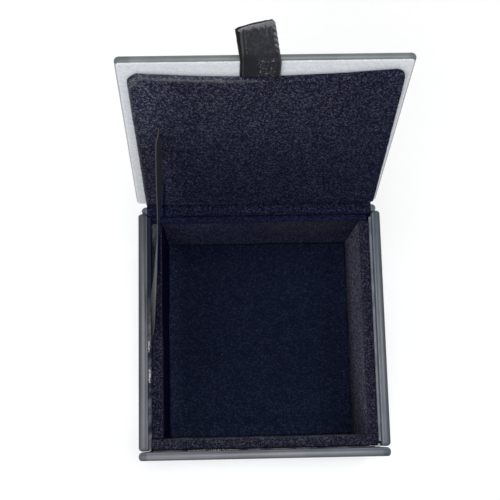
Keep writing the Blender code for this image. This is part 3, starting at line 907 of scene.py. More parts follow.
# %% Back liner
low, high = node_box("back_liner_velvet")
back_roll, back_columns, back_levels = 0.0009, 44, 13
patch_x, patch_z, patch_wide, patch_tall = 0.020, high.z - 0.012, 0.026, 0.022
section = [(low.y, low.z + (high.z - back_roll - low.z) * i / back_levels) for i in range(back_levels + 1)]
section += quarter((low.y + back_roll, high.z - back_roll), back_roll, 1, roll_steps)[-2::-1]
section += [(high.y, high.z)]
inside = [(high.y, high.z - cloth), (low.y + cloth, high.z - cloth), (low.y + cloth, low.z)]
bm = bmesh.new()
napped, wear_and_painted_light, light_shade_paint = float_layers(bm, "nap", "wear_and_painted_light", "painted_light_and_shade")
rows = []
for c in range(back_columns + 1):
    x = low.x + (high.x - low.x) * c / back_columns
    row = []
    for y, z in section:
        sway = abs(wander(x / 0.016, z / 0.016, 4.0) * 0.00022)
        vert = bm.verts.new((x, y - sway * (z < high.z - touch), z))
        on_face = 1 - max(0.0, 1 - (high.z - z) / 0.0030)
        patch = Vector(((x - patch_x) / patch_wide, (z - patch_z) / patch_tall)).length
        # Painted light on the face, more at the left and low down, painted shade on the top, and a paler brownish
        # patch right of the middle.
        light = 0.20 * ease(-x, -0.006, 0.034) + 0.12 * ease(low.z + 0.030 - z, 0.0, 0.024)
        vert[napped], vert[wear_and_painted_light] = 1.0, 0.19 * ease(1 - patch, 0.0, 0.5) * on_face
        vert[light_shade_paint] = light * on_face - 0.66 * (1 - on_face)
        row.append(vert)
    rows.append(row + [bm.verts.new((x, y, z)) for y, z in inside])
skin(bm, rows)
back_mesh = plain_mesh(bm)
liners.append(finish_piece("back_liner_cloth", back_mesh, velvet_back, "box", ["back_liner_velvet"]))
print("liners:", len(liners))

# %% Floor pad
floor_plan = block_plan(floor_low.x - 0.00015, floor_high.x, floor_low.y, floor_high.y)
margin = 0.008


def floor_shape(point):
    """Painted light along the left, front and right walls and over the front half, lifting the shade there; no
    wear or sheen on the edge.
    """
    gaps = (point.x - floor_low.x, point.y - floor_low.y, floor_high.x - point.x)
    left, front, right_side = (max(0.0, 1 - gap / margin) ** 1.5 for gap in gaps)
    return Vector(), -1.0, 0.13 * ease(-point.y, 0.002, 0.042) + max(0.36 * left, 0.20 * front, 0.12 * right_side)


bm = cloth_cap(floor_plan, floor_low.z, floor_high.z, roll=0.0008, crown=0.00025, ripple=0.00014, seed=29.0,
               wall_step=0.001, rings_in=22, shape=floor_shape)
floor_cloth = finish_piece("floor_cloth", plain_mesh(bm), velvet_floor, "box", ["floor_velvet"])


# %% [markdown]
# ## The lid's pad
#
# The pad is a thin card with velvet drawn over it by hand, so it isn't a true rectangle: the front edge
# bows in towards the pull tab, the right side flares towards the hinge, and the cloth is folded over at
# the corners. The same loft makes it, upside down, as the cloth faces the box when the lid is shut.

# %% Lid pad
pad_low, pad_high = node_box("lid_pad_velvet", to_closed)
pad_flare, pad_slant, pad_hollow, pad_corner = 0.0014, 0.0013, 0.0029, 0.0034
pad_edge_steps = 12
# Where the painted shadow line that the stay casts runs over the pad.
shadow_x, shadow_slope, shadow_y, shadow_half = -0.0380, -0.061, 0.0133, 0.0009


def pad_front(share):
    """Y of the hollow front edge of the pad at a share of the way from left to right."""
    return pad_low.y + pad_slant * (1 - share) + pad_hollow * math.sin(math.pi * share)


fold_start = Vector((pad_low.x + 0.0006, pad_front(0) + 0.0052))
fold_line = Vector((pad_low.x + 0.0030, pad_front(0) + 0.0016)) - fold_start


def pad_plan(inset):
    """The pad from above: rounded front corners, hollow front edge, flared right side."""
    left, wide, rear = pad_low.x + inset, pad_high.x - inset, pad_high.y - inset
    right_front = wide - pad_flare
    r = pad_corner - inset
    corner = [Vector(p) for p in quarter((left + r, pad_front(0) + inset + r), r, 2)]
    chord = [corner[0].lerp(corner[-1], i / (len(corner) - 1)) for i in range(len(corner))]
    points = [(wide, rear), (left, rear)] + [tuple(p.lerp(c, 0.6)) for p, c in zip(corner, chord)]
    run = right_front - left - 2 * r
    for i in range(1, pad_edge_steps):
        share = i / pad_edge_steps
        points.append((left + r + run * share, pad_front(share) + inset))
    return points + quarter((right_front - r, pad_front(1) + inset + r), r, 3)


def pad_shape(point):
    """The fold's ridge at the front left corner with a painted highlight, painted light on the front edge's left
    part and along the left side, painted shade towards the hinge and at the right, and the stay's painted shadow
    line.
    """
    from_fold = point.xy - fold_start
    gap = (from_fold - fold_line * clamp(from_fold.dot(fold_line) / fold_line.length_squared)).length
    ridge = max(0.0, 1 - gap / 0.0009)
    dip = max(0.0, 1 - gap / 0.0022) if from_fold.cross(fold_line) > 0 else 0.0
    lift = 0.00045 * ridge - 0.00035 * dip * (1 - ridge)
    across = (point.x - pad_low.x) / (pad_high.x - pad_low.x)
    low_share = ease((point.y - pad_low.y) / (pad_high.y - pad_low.y), 0.10, 0.74)
    painted_light_and_shade = -0.55 * low_share - 0.27 * ease(across, 0.55, 0.90) * (1 - low_share)
    painted_light_and_shade += (0.16 + 0.30 * low_share) * (1 - ease(across, 0.05, 0.19))
    # A painted shadow line that the stay casts on the pad.
    shadow_gap = abs(point.x - shadow_x - shadow_slope * (point.y - shadow_y))
    painted_streak = ease(shadow_half - shadow_gap, 0.0, 0.0005) * ease(point.y, 0.018, 0.036)
    painted_light_and_shade += (-0.95 - painted_light_and_shade) * painted_streak
    front_face = point.y < pad_front(across) + 0.0012 and point.z > pad_low.z + 0.0004
    if front_face:
        painted_light_and_shade = 0.18 - 0.42 * ease(across, 0.30, 0.75)
    front_face_light = 0.20 * front_face * (1 - ease(across, 0.25, 0.6)) - 0.7 * ease(across, 0.35, 0.6)
    return Vector((0, 0, -lift)), 1.1 * ridge + front_face_light, painted_light_and_shade


bm = cloth_cap(pad_plan, pad_high.z, pad_low.z, roll=0.0009, crown=-0.00010, ripple=0.00016, seed=41.0,
               wall_step=0.0005, rings_in=70, spacing=0.0008, shape=pad_shape)
pad_cloth = finish_piece("lid_pad_cloth", plain_mesh(bm, to_open), velvet_pad, "lid", ["lid_pad_velvet"])

# %% [markdown]
# ## The cloth hinge
#
# One strip of velvet is glued to the lid's glass, folds over the back pane's rim and runs down behind
# the back liner. It has to bend when the lid shuts, so it is a strip along one smooth profile.

# %% Hinge cloth
hinge_low, hinge_high = node_box("hinge_velvet")
along_lid = Vector((0, -math.cos(lid_turn), math.sin(lid_turn)))
off_lid = Vector((0, math.sin(lid_turn), math.cos(lid_turn)))
pane_inner, pad_face, pad_rear = lid_low.z - axis.z, pad_low.z - axis.z, axis.y - pad_high.y
half_cloth, nose = cloth / 2, glass / 2
bend_radius = nose + touch + half_cloth
crease, fold_steps, lead_in, swell = 0.0010, 10, 6, 0.0013
# The stay's painted shadow line crosses the strip at this x.
strip_columns, shadow_line_x = 190, -0.0402

on_lid = axis + off_lid * (pane_inner - touch - half_cloth)
meet = on_lid + along_lid * ((rim + touch + half_cloth - on_lid.z) / along_lid.z)
fold = math.pi - lid_turn
turning = meet + along_lid * crease * math.tan(fold / 2) - off_lid * crease
fold_top = (turning + off_lid * crease - on_lid).dot(along_lid)
profile = []
for i in range(lead_in):
    t = i / lead_in
    reach = pad_rear - touch + (fold_top - pad_rear + touch) * t
    profile.append(on_lid + along_lid * reach - off_lid * swell * (1 - t) ** 2 * (1 + 2 * t))
for i in range(fold_steps + 1):
    a = i / fold_steps * fold
    profile.append(turning + (off_lid * math.cos(a) - along_lid * math.sin(a)) * crease)
nose_y, nose_z = node_box("back_pane")[0].y + nose, rim - nose
for i in range(fold_steps + 1):
    a = i / fold_steps * math.pi / 2
    profile.append(Vector((0, nose_y - bend_radius * math.sin(a), nose_z + bend_radius * math.cos(a))))
profile += [Vector((0, nose_y - bend_radius, nose_z - (nose_z - hinge_low.z) * i / 6)) for i in range(1, 7)]
last = len(profile) - 1


def pucker(x, i):
    """Small waves of the cloth along the fold, none where it is glued."""
    return wander(x / 0.007, i / 9, 7.0) * 0.00022 if 0 < i < lead_in + fold_steps else 0.0


bm = bmesh.new()
napped, light_shade_paint = float_layers(bm, "nap", "painted_light_and_shade")
rows, x0 = [], hinge_low.x - 0.0002
for c in range(strip_columns + 1):
    x = x0 + (hinge_high.x - x0) * c / strip_columns
    row = []
    for side, order in ((0.5, range(last + 1)), (-0.5, range(last, -1, -1))):
        for i in order:
            run = profile[min(i + 1, last)] - profile[max(i - 1, 0)]
            out = Vector((0, -run.z, run.y)).normalized()
            vert = bm.verts.new(profile[i] + out * (cloth * side + pucker(x, i)) + right * x)
            # Painted shade all over the strip, darker along the stay's shadow line.
            vert[napped], vert[light_shade_paint] = 1.0, -0.64 - 0.31 * ease(0.0008 - abs(x - shadow_line_x), 0.0, 0.0004)
            row.append(vert)
    rows.append(row)
skin(bm, rows)
hinge_cloth = finish_piece("hinge_cloth", plain_mesh(bm), velvet_pad, None, ["hinge_velvet"])


# %% [markdown]
# ## The stay ribbon
#
# The stay is a flat satin ribbon seen almost edge-on. It goes down behind the left liner, leans over
# it, and rises straight to a slit in the pad. Its shape is a ruled strip: one edge is a smooth curve,
# the other lies a ribbon's width below it, and both bow sideways by how near they are to either end.


# %% Stay ribbon
def smooth_through(shares, t):
    """A smooth curve through pairs of a share and a value, level at both ends."""
    slopes = [0.0] + [(c[1] - a[1]) / (c[0] - a[0]) for a, c in zip(shares, shares[2:])] + [0.0]
    for i, ((t0, v0), (t1, v1)) in enumerate(zip(shares, shares[1:])):
        if t <= t1:
            run, s = t1 - t0, (t - t0) / (t1 - t0)
            rise = v0 * (1 + 2 * s) * (1 - s) ** 2 + v1 * s * s * (3 - 2 * s)
            return rise + run * (slopes[i] * s * (1 - s) ** 2 - slopes[i + 1] * s * s * (1 - s))
    return shares[-1][1]


ribbon = 0.0003
stay_lid_reach, stay_box_reach, stay_tail = 0.0659, 0.0534, 0.0100
stay_slit_x = liner_low.x - 0.00022
upper_bow = ((0.0, 0.0008), (0.05, 0.0014), (0.14, 0.0020), (0.29, 0.0030), (0.44, 0.0040), (0.63, 0.0051),
             (0.86, 0.0057), (0.96, 0.0063), (1.0, 0.0074))
lower_bow = ((0.0, -0.0003), (0.04, 0.0001), (0.18, 0.0014), (0.31, 0.0024), (0.41, 0.0031), (0.55, 0.0043),
             (0.68, 0.0056), (0.80, 0.0066), (1.0, 0.0075))
stay_steps, stay_strands = 96, 8
at_lid = axis + off_lid * pad_face + along_lid * stay_lid_reach
at_box = Vector((0, axis.y - stay_box_reach, liner_top))
stay_run = (at_lid - at_box).normalized()
stay_down = Vector((0, stay_run.z, -stay_run.y))


def stay_x(point, down):
    """How far across the box the ribbon lies at a point of its side view, down going 0 to 1 over its width."""
    above_liner = max(0.0, point.z - liner_top - touch)
    off_pad = max(0.0, pad_face - touch - (point - axis).dot(off_lid))
    share = above_liner / (above_liner + off_pad)
    upper, lower = smooth_through(upper_bow, share), smooth_through(lower_bow, share)
    return stay_slit_x + (upper + (lower - upper) * down) * ease(point.z, liner_top - 0.0012, liner_top + 0.0004)


def stay_line(down):
    """The ribbon's line at a share of its width, from the slit beside the liner to the pad's card."""
    start = at_box + stay_down * (stay_width * down)
    low = start + stay_run * ((liner_top - stay_tail - start.z) / stay_run.z)
    high = start + stay_run * ((pad_face + cloth - (start - axis).dot(off_lid)) / stay_run.dot(off_lid))
    points = [low.lerp(high, i / stay_steps) for i in range(stay_steps + 1)]
    return [Vector((stay_x(p, down), p.y, p.z)) for p in points]


def ribbon_mesh(lines, width, light_and_wear):
    """A ribbon through lines side by side, with its own UV map in metres. A function of (s, i) gives each point's
    painted light and shade and its paler marks.
    """
    bm = bmesh.new()
    uv, (wear_and_painted_light,) = bm.loops.layers.uv.new("ribbon"), float_layers(bm, "wear_and_painted_light")
    strands, steps = len(lines), len(lines[0])
    lengths = [0.0]
    for a, b in zip(lines[0], lines[0][1:]):
        lengths.append(lengths[-1] + (b - a).length)
    sides = [[[] for line in lines] for way in (-1, 1)]
    spots, faces = {}, []
    for way, side in zip((-1, 1), sides):
        for s in range(strands):
            for i in range(steps):
                run = lines[s][min(i + 1, steps - 1)] - lines[s][max(i - 1, 0)]
                cross = lines[min(s + 1, strands - 1)][i] - lines[max(s - 1, 0)][i]
                vert = bm.verts.new(lines[s][i] + run.cross(cross).normalized() * way * ribbon / 2)
                vert[wear_and_painted_light] = light_and_wear(s, i)
                spots[vert] = (width * s / (strands - 1), lengths[i])
                side[s].append(vert)
        faces += [(side[s][i], side[s + 1][i], side[s + 1][i + 1], side[s][i + 1])
                  for s in range(strands - 1) for i in range(steps - 1)]
    low, high = sides
    faces += [(low[s][i], low[s][i + 1], high[s][i + 1], high[s][i]) for i in range(steps - 1) for s in (0, -1)]
    faces += [(low[s][i], low[s + 1][i], high[s + 1][i], high[s][i]) for s in range(strands - 1) for i in (0, -1)]
    for corners in faces:
        for loop in bm.faces.new(corners).loops:
            loop[uv].uv = spots[loop.vert]
    return bm, lengths[-1]


stay_lines = [stay_line(s / stay_strands) for s in range(stay_strands + 1)]


def stay_painted_light(s, i):
    """Painted light in streaks on the ribbon's lower part above the liner, and a little all along."""
    deep = stay_lines[s][i].y
    streak = 0.75 + 0.5 * wander(s * 1.7, i / 5, 6.0)
    return 0.06 + 0.21 * streak * ease(deep, -0.003, 0.006) * (1 - ease(deep, 0.014, 0.029))


bm, stay_length = ribbon_mesh(stay_lines, stay_width, stay_painted_light)
stay = finish_piece("stay_ribbon_satin", plain_mesh(bm), satin_stay, None, ["stay_ribbon"])
print("stay ribbon", round(stay_length * 1000, 1), "mm long")

# %% [markdown]
# ## The pull tab
#
# The tab is a length of half-inch ribbon folded double. Both ends are glued under the pad. It leaves
# flat along the glass, opens a little towards the fold, curls back, leans to the left and turns, as a
# stiff ribbon does when it is always pulled from one side.

# %% Pull tab
tab_reach = 0.0164
tab_middle = (lid_low.x + lid_high.x) / 2 - 0.0014
layer_gap, tab_bulge, tab_lean, tab_back_step = 0.0003, 0.00015, -0.0020, -0.0011
tab_pinch, tab_cup, tab_twist, tab_curl = 0.11, 0.0001, math.radians(15), math.radians(16)
tab_start, tab_edge = node_box("pull_tab", to_closed)[1].y, lid_low.y
tab_mid = lid_low.z - 0.00025 - ribbon - layer_gap / 2
tab_steps, tab_fold_steps, tab_strands = 72, 10, 40
tab_flat = tab_start - tab_edge
tab_long = tab_flat + tab_reach


def tab_station(travel):
    """Middle, outward and onward ways and half opening of the folded ribbon, at a distance from its glued end."""
    free = max(0.0, travel - tab_flat)
    share = free / tab_reach
    angle = tab_curl * share
    centre = Vector((0, tab_start - min(travel, tab_flat) - free * math.cos(angle / 2),
                     tab_mid + free * math.sin(angle / 2)))
    opening = (layer_gap + ribbon) / 2 + tab_bulge * share * share * (3 - 2 * share)
    return (centre, Vector((0, math.sin(angle), math.cos(angle))), Vector((0, -math.cos(angle), math.sin(angle))),
            opening)


def tab_profile():
    """The ribbon's line from one glued end, round the fold and back to the other."""
    stations = [tab_station(tab_long * i / tab_steps) for i in range(tab_steps + 1)]
    centre, off, on, opening = stations[-1]
    turns = [math.pi * i / tab_fold_steps for i in range(1, tab_fold_steps)]
    round_fold = [centre - off * opening * math.cos(t) + on * opening * math.sin(t) for t in turns]
    under, over_side = ([c - o * (w * way) for c, o, _, w in stations] for way in (1, -1))
    return under + round_fold + over_side[::-1]


def tab_zigzag(across, share):
    """Phase of the crimps that run slantwise along the right edge."""
    return (share * tab_reach + across * tab_width * 0.8) / 0.00115 * math.pi


def tab_place(point, across, layer):
    """Where a point of the profile lies at a share across the ribbon, from -0.5 to 0.5."""
    share = max(0.0, (tab_edge - point.y) / tab_reach)
    step = tab_back_step * layer * (0.7 + 0.5 * share)
    x = tab_middle + across * tab_width * (1 - tab_pinch * share) + tab_lean * share + step
    z = point.z + across * tab_width * math.sin(tab_twist * share) + tab_cup * share * (1 - 4 * across * across)
    crimp = max(0.0, across - 0.25) * min(1.0, 2 * share) * 0.0012 * math.sin(tab_zigzag(across, share) - 1.2)
    wave = share * 0.00025 * wander(x / 0.004, point.y / 0.004, 2.0 + layer)
    droop = 0.0007 * (2 * abs(across)) ** 12 * share ** 6
    return to_open @ Vector((x, point.y + droop, z + crimp + wave))


line = tab_profile()
tab_layers = [clamp((i - tab_steps) / tab_fold_steps) for i in range(len(line))]  # 0 in front, 1 behind
tab_lines = [[tab_place(p, s / tab_strands - 0.5, layer) for p, layer in zip(line, tab_layers)]
             for s in range(tab_strands + 1)]


# Lines along which a highlight is painted.
crease_highlight_lines = ((0.26, 0.0016), (-0.28, 0.0030), (0.18, 0.0031), (-0.15, 0.0046))  # their lean and foot


def band_at(value, middle, half):
    """1 at a middle, falling evenly to 0 at half a width from it."""
    return max(0.0, 1 - abs(value - middle) / half)


def tab_light_and_shade(s, i):
    """Painted highlights by the fold, on the crimps, along crease lines and in patches of the weave; painted shade
    over the fold's top, the back layer, the left edge and the foot; a dark line and a paler sewn-looking border
    and stitches at the left.
    """
    across = s / tab_strands - 0.5
    x = across * tab_width
    share = max(0.0, (tab_edge - line[i].y) / tab_reach)
    before = (tab_steps - i) * tab_long / tab_steps
    mottle = 0.5 + 0.5 * wander(x / 0.0009, before / 0.0006, 5.0)
    if i > tab_steps:
        # Round the fold: a painted highlight, then painted shade over its top and the back layer.
        return 0.22 + 0.34 * mottle if (i - tab_steps) / tab_fold_steps < 0.38 else -0.85
    # Painted highlights by the fold, on the crimps and along the crease lines.
    ragged_edge = 0.0003 + 0.0020 * wander(x / 0.0006, 0, 3.0) + 0.0008 * across
    fold_highlight = (0.16 + 0.46 * mottle) * (1 - ease(before, ragged_edge, ragged_edge + 0.0010))
    crimp_highlight = 0.62 * ease(across, 0.38, 0.44) * (0.4 + mottle) * max(0.0, math.sin(tab_zigzag(across, share)))
    crimp_highlight *= ease(share, 0.2, 0.5)
    crease_highlight = max(band_at(x, foot + lean * (before - 0.0035), 0.0004) for lean, foot in crease_highlight_lines)
    crease_highlight *= 0.20 * mottle * ease(0.0062 - before, 0.0, 0.002)
    border_line = (0.10 + 0.16 * mottle) * band_at(across, -0.452, 0.024)
    stitches = 0.50 * band_at(across, -0.372, 0.026) * max(0.0, wander(4.0, before / 0.0009, 1.0) + 0.30)
    # Painted sheen in patches of the weave near the fold.
    weave = 1.3 * max(0.0, wander(x / 0.00060, before / 0.00060, 9.0) + 0.02)
    weave *= ease(0.16 - share, 0.0, 0.10) * ease(0.36 - abs(across - 0.12), 0.0, 0.20)
    painted_streak = wander(x / 0.0007, before / 0.0021, 13.0) + 0.5 * wander(x / 0.0004, before / 0.0005, 17.0)
    painted_streak = 0.10 * max(0.0, painted_streak) * ease(across, -0.36, -0.30)
    lit = max(fold_highlight, crimp_highlight, crease_highlight, border_line, stitches, weave, painted_streak)
    # A dark line near the left, and painted shade along the left edge and at the tab's foot.
    dark_line = 0.7 * band_at(across, -0.408, 0.020) + 0.5 * (across + 0.5 < 0.02)
    shadow = 0.19 * ease(0.30 - share, 0.0, 0.24)
    return (min(0.9, lit) if lit > dark_line else -dark_line) - shadow


bm, tab_length = ribbon_mesh(tab_lines, tab_width, tab_light_and_shade)
tab = finish_piece("pull_tab_satin", plain_mesh(bm), satin_tab, "lid", ["pull_tab"])
print("pull tab ribbon", round(tab_length * 1000, 1), "mm long")

# %% [markdown]
# ## Woven edges
#
# At each edge of a ribbon the weft thread turns back on itself in tiny loops. They are far too many to
# place by hand, so a geometry tree spaces small beads along a line, each laid along it.

# %% Woven edges
loop_spacing, loop_size = 0.0005, 0.00015
loop_tree, given = new_tree("selvedge loops", {})
bead = wire("GeometryNodeMeshIcoSphere", {"Radius": 1.0, "Subdivisions": 1})
facing = wire("FunctionNodeAlignRotationToVector", {"Vector": wire("GeometryNodeInputTangent")}, axis="X")
size = times(random_value(0.8, 1.2, 5), loop_size)
spots = spaced(given["Geometry"], "Length", loop_spacing)
close_tree(placed(spots, bead, facing, combine(times(size, 1.45), size, size)), thread)


def selvedge(name, lines, body, finish):
    """Rows of loops along a ribbon's two edges, as one plain mesh."""
    mesh = all_grown(loop_tree, [({}, line_mesh(points)) for points in (lines[0], lines[-1])])
    mesh.shade_smooth()
    return finish_piece(name, mesh, finish, body)


selvedge("pull_tab_selvedge", tab_lines, "lid", dark_thread)
stay_selvedge = selvedge("stay_selvedge", stay_lines, None, thread)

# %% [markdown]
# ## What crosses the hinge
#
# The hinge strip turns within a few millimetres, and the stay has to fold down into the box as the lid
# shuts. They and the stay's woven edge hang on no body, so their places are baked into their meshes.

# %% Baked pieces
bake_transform(hinge_cloth)
for piece in (stay, stay_selvedge):
    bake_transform(piece)

# %% [markdown]
# ## Glue
#
# The panes are bonded at their inner corners with clear glue that dries as a bead of uneven thickness.
# A geometry tree sweeps a ring along a line and swells it by a slow noise, which is just how a bead
# from a nozzle looks.

# %% Glue beads
glue_tree, given = new_tree("glue bead", {"Radius": 0.00055, "Swelling": 0.35, "Lump length": 0.006})
lumps = wire("ShaderNodeTexNoise", {
    "Vector": wire("GeometryNodeInputPosition"), "Scale": sums("DIVIDE", 1.0, given["Lump length"])})
swollen = sums("MULTIPLY_ADD", sums("SUBTRACT", lumps, 0.5), given["Swelling"], 1.0)
ring = wire("GeometryNodeCurvePrimitiveCircle", {"Resolution": 12, "Radius": given["Radius"]})
path = spaced(given["Geometry"], "Length", 0.0008)
bead = wire("GeometryNodeCurveToMesh", {"Curve": path, "Profile Curve": ring, "Scale": swollen, "Fill Caps": True})
close_tree(wire("GeometryNodeSetShadeSmooth", {"Geometry": bead}), glue)

for node in ("glue_front_left", "glue_front_right", "glue_rear_left", "glue_rear_right"):
    low, high = node_box(node)
    radius = (high.x - low.x) * 0.46
    x, y, z = (low.x + high.x) / 2, (low.y + high.y) / 2, low.z + radius
    points = [(x, y, z + (high.z - low.z - 2 * radius) * i / 20) for i in range(21)]
    made = grown(glue_tree, {"Radius": radius}, line_mesh(points))
    finish_piece(node.replace("glue", "glue_bead"), made, glue, "box", [node])

# %% [markdown]
# The liners were stuck to the panes with the same glue. It squeezed up between them and was never
# wiped off, so a thin, dull line of it runs along the left, front and right panes, just below the rim.

# %% Squeezed-out glue
def old_cloud():
    """The old glue's mask: cloudy in front, and dark towards the hinge."""
    return times(fade(grain(0.0050, 4.0, 0.6), 0.38, 0.66), between(fade(own("Y"), -0.002, 0.024), 1.0, 0.0))


old_glue = two_tone("old_glue", old_cloud, (0.014, 0.019, 0.038), (0.150, 0.158, 0.176), 0.0001, 0.6,
                    Roughness=0.75, Specular_IOR_Level=0.12)
pale_glue = two_tone("pale_glue", lambda: fade(grain(0.0060, 4.0, 0.6), 0.30, 0.70), (0.120, 0.128, 0.150),
                     (0.230, 0.240, 0.268), 0.0001, 0.6, Roughness=0.6, Specular_IOR_Level=0.2)


def squeeze_out(name, lines, finish, swelling):
    """Runs of glue along lines of (start, end, radius), as one piece."""
    mesh = all_grown(glue_tree, [
        ({"Radius": radius, "Swelling": swelling, "Lump length": 0.0045},
         line_mesh([Vector(start).lerp(Vector(end), i / 90) for i in range(91)])) for start, end, radius in lines])
    finish_piece(name, mesh, finish, "box")


left_x, right_x, left_z, right_z = left_inner + 0.00095, right_face - 0.00062, rim - 0.0024, rim - 0.0025
front_inner = front_high.y
squeeze_out("squeezed_glue", (
    ((left_x, -0.0484, left_z), (left_x, 0.0482, left_z), 0.00084),
    ((-0.0455, front_inner + 0.00020, left_z), (0.0450, front_inner + 0.00015, left_z), 0.0003),
), old_glue, 0.5)
right_run = ((right_x, -0.0470, right_z), (right_x, 0.0470, right_z), 0.00060)
squeeze_out("right_glue_run", (right_run,), pale_glue, 0.25)

# %% [markdown]
# ## Flakes on the rim
#
# Where the panes were cut, the silver paint has chipped and left pale flakes along the rims' inner
# edges. The tree drops small flat chips along a line at random places, sizes and turns.

# %% Flakes
flake_tree, given = new_tree("silver flakes", {"Count": 12, "Size": 0.0004, "Seed": 1})
jitter = scaled(random_value((-1.0, -1.0, -0.2), (1.0, 1.0, 0.2), given["Seed"]), 0.0002)
spots = spaced(given["Geometry"], "Count", given["Count"])
spots = wire("GeometryNodeSetPosition", {"Geometry": spots, "Offset": jitter})
chip = wire("GeometryNodeMeshIcoSphere", {"Radius": 1.0, "Subdivisions": 1})
chip_size = scaled(random_value((0.3, 0.3, 0.12), (1.0, 1.5, 0.25), 9), given["Size"])
chip_turn = random_value((-0.3, -0.3, 0.0), (0.3, 0.3, 6.28), 4)
close_tree(placed(spots, chip, chip_turn, chip_size), silver_flake)

rim_spots = (
    ((left_inner + 0.0007, -0.0086), (left_inner + 0.0008, -0.0044), 18, 0.00034),
    ((left_inner + 0.0010, -0.0212), (left_inner + 0.0011, -0.0163), 26, 0.00040),
    ((-0.0310, front_inner + 0.0003), (-0.0120, front_inner + 0.0002), 22, 0.00030),
    ((-0.0474, front_inner + 0.0004), (-0.0468, front_inner + 0.0005), 5, 0.00026),
    ((0.0460, front_inner + 0.0004), (0.0468, front_inner + 0.0002), 6, 0.00035),
)
flake_z = rim - 0.0014
mesh = all_grown(flake_tree, [
    ({"Count": count, "Size": size, "Seed": number}, line_mesh([(*start, flake_z), (*end, flake_z)]))
    for number, (start, end, count, size) in enumerate(rim_spots)])
finish_piece("silver_flakes", mesh, silver_flake, "box")

# %% [markdown]
# ## Felt and card
#
# The felt under the box is a flat sheet with clipped corners, so the pane tree makes it too. The cards
# inside the velvet are plain and hidden: they keep their CAD shape and get a finish.

# %% Felt and card
low, high = node_box("base_felt")
size = high - low
made = grown(pane_tree, {"Width": size.x, "Height": size.y, "Thickness": size.z, "Edge": 0.00035, "Tip": 0.0015,
                         "Edge points": 7})
made.transform(Matrix.Translation((low + high) / 2))
finish_piece("felt_foot", made, felt, "box", ["base_felt"])
boards = [node for node in frame["nodes"] if node.endswith("_board")]
for node in boards:
    for place in frame["nodes"][node].material_slots:
        place.material = card
print("boards:", boards)

# %% [markdown]
# ## Pile and lint
#
# Velvet has an edge of standing fibres that no bump map gives: it shows where the cloth turns away from
# the eye. A tree scatters thin tufts over the visible cloth, standing along the surface and leaning at
# random. A few longer, paler threads of lint come from the same tree.

# %% Pile tree
pile_tree, given = new_tree("pile", {
    "Density": 1.8e6, "Length": 0.00032, "Thickness": 0.00009, "Lean": 0.6, "Seed": 2})
napped = wire("GeometryNodeInputNamedAttribute", {"Name": "nap"}, data_type="FLOAT")
scatter = tree.nodes.new("GeometryNodeDistributePointsOnFaces")
feed(scatter.inputs, {"Mesh": given["Geometry"], "Density": given["Density"], "Seed": given["Seed"],
                      "Selection": sums("GREATER_THAN", napped, 0.9)})
lean = scaled(random_value((-1.0, -1.0, -1.0), (1.0, 1.0, 1.0), 8), given["Lean"])
lean = wire("ShaderNodeVectorMath", {0: lean, 1: scatter.outputs["Normal"]}, operation="ADD")
stand = wire("FunctionNodeAlignRotationToVector", {"Vector": lean}, axis="Z")
tuft = wire("GeometryNodeMeshCone", {"Vertices": 3, "Radius Top": 0.0, "Radius Bottom": 1.0, "Depth": 1.0})
tuft = moved(tuft, Translation=(0.0, 0.0, -0.15))
tuft_length = times(random_value(0.6, 1.15, 3), given["Length"])
tuft_size = combine(given["Thickness"], given["Thickness"], tuft_length)
close_tree(placed(scatter.outputs["Points"], tuft, stand, tuft_size), velvet_lining)


# %% Pile on the cloths
def pile_on(name, cloths, finish, body, density, length=0.00032, thickness=0.00009, lean=0.6, seed=2):
    """Tufts over every cloth in the list, as one piece."""
    values = {"Density": density, "Length": length, "Thickness": thickness, "Lean": lean, "Seed": seed}
    mesh = all_grown(pile_tree, [(values, piece.data.copy()) for piece in cloths])
    finish_piece(name, mesh, finish, body)


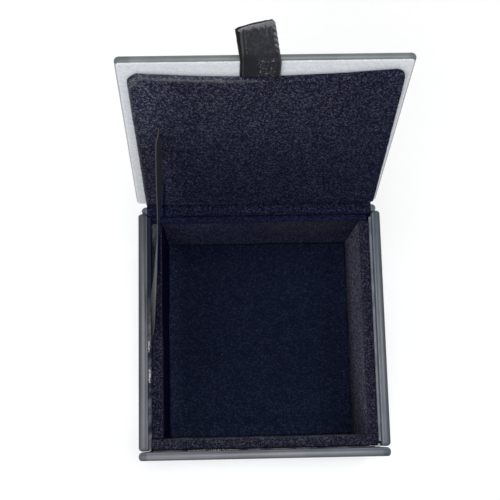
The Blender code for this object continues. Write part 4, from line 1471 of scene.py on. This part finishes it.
lint_shape = (0.0012, 0.00005, 2.5)
pile_on("pad_pile", [pad_cloth], velvet_pad, "lid", 2.2e6)
pile_on("floor_pile", [floor_cloth], velvet_floor, "box", 1.8e6)
pile_on("front_pile", [liners[0]], velvet_lining, "box", 1.6e6)
pile_on("back_pile", [liners[3]], velvet_back, "box", 1.6e6)
pile_on("side_pile", [liners[1], liners[2]], velvet_lining, "box", 1.6e6)
pile_on("pad_lint", [pad_cloth], lint, "lid", 1.5e4, *lint_shape, 14)
pile_on("box_lint", [floor_cloth, *liners], lint, "box", 3.5e3, *lint_shape, 23)

# %% [markdown]
# ## Light, floor and backdrop
#
# The photograph has an even white surround, soft light from above and a little more from the left. The
# world gives most of the light, so that a colour renders about as written, and two large lamps give the
# direction. The floor is pale paper: it adds a little of its own for the camera and for reflections, so
# that it reads white but keeps the box's shadow.


# %% Floor and world
def seen():
    """1 for what the camera sees, straight or in a reflection, and 0 for other light."""
    path = tree.nodes.new("ShaderNodeLightPath").outputs
    return sums("ADD", path["Is Camera Ray"], path["Is Glossy Ray"], clamp=True)


floor_paper = two_tone("floor_paper", lambda: fade(grain(0.004, 4.0), 0.2, 0.8), (0.78, 0.78, 0.785),
                       (0.82, 0.82, 0.825), Roughness=0.9, Emission_Color=(1, 1, 1))
feed(tree.nodes["Principled BSDF"].inputs, {"Emission Strength": times(seen(), 0.30)})
bm = bmesh.new()
bmesh.ops.create_circle(bm, cap_ends=True, radius=3.0, segments=96)
floor = bpy.data.objects.new("floor", plain_mesh(bm))
floor.data.materials.append(floor_paper)
bpy.context.scene.collection.objects.link(floor)

world = bpy.data.worlds.new("world")
bpy.context.scene.world = world
world.use_nodes = True
backdrop = open_tree(world.node_tree).nodes["Background"]
feed(backdrop.inputs, {"Color": (0.98, 0.99, 1.0), "Strength": between(seen(), 0.42, 1.0)})


# %% Lamps
def soft_lamp(name, place, aim, size, watts, tint):
    """A square lamp that looks at a point."""
    data = bpy.data.lights.new(name, "AREA")
    data.size, data.energy, data.color = size, watts, tint
    lamp = bpy.data.objects.new(name, data)
    lamp.location = place
    lamp.rotation_euler = (Vector(aim) - Vector(place)).to_track_quat("-Z", "Y").to_euler()
    bpy.context.scene.collection.objects.link(lamp)


soft_lamp("key", (0.10, 0.05, 1.15), (0, 0, 0.05), 0.65, 5.4, (1.0, 0.99, 0.975))
soft_lamp("fill", (-0.45, -0.55, 0.85), (0, 0, 0.08), 1.0, 3.8, (0.95, 0.97, 1.0))
bpy.context.scene.view_settings.view_transform = "Standard"
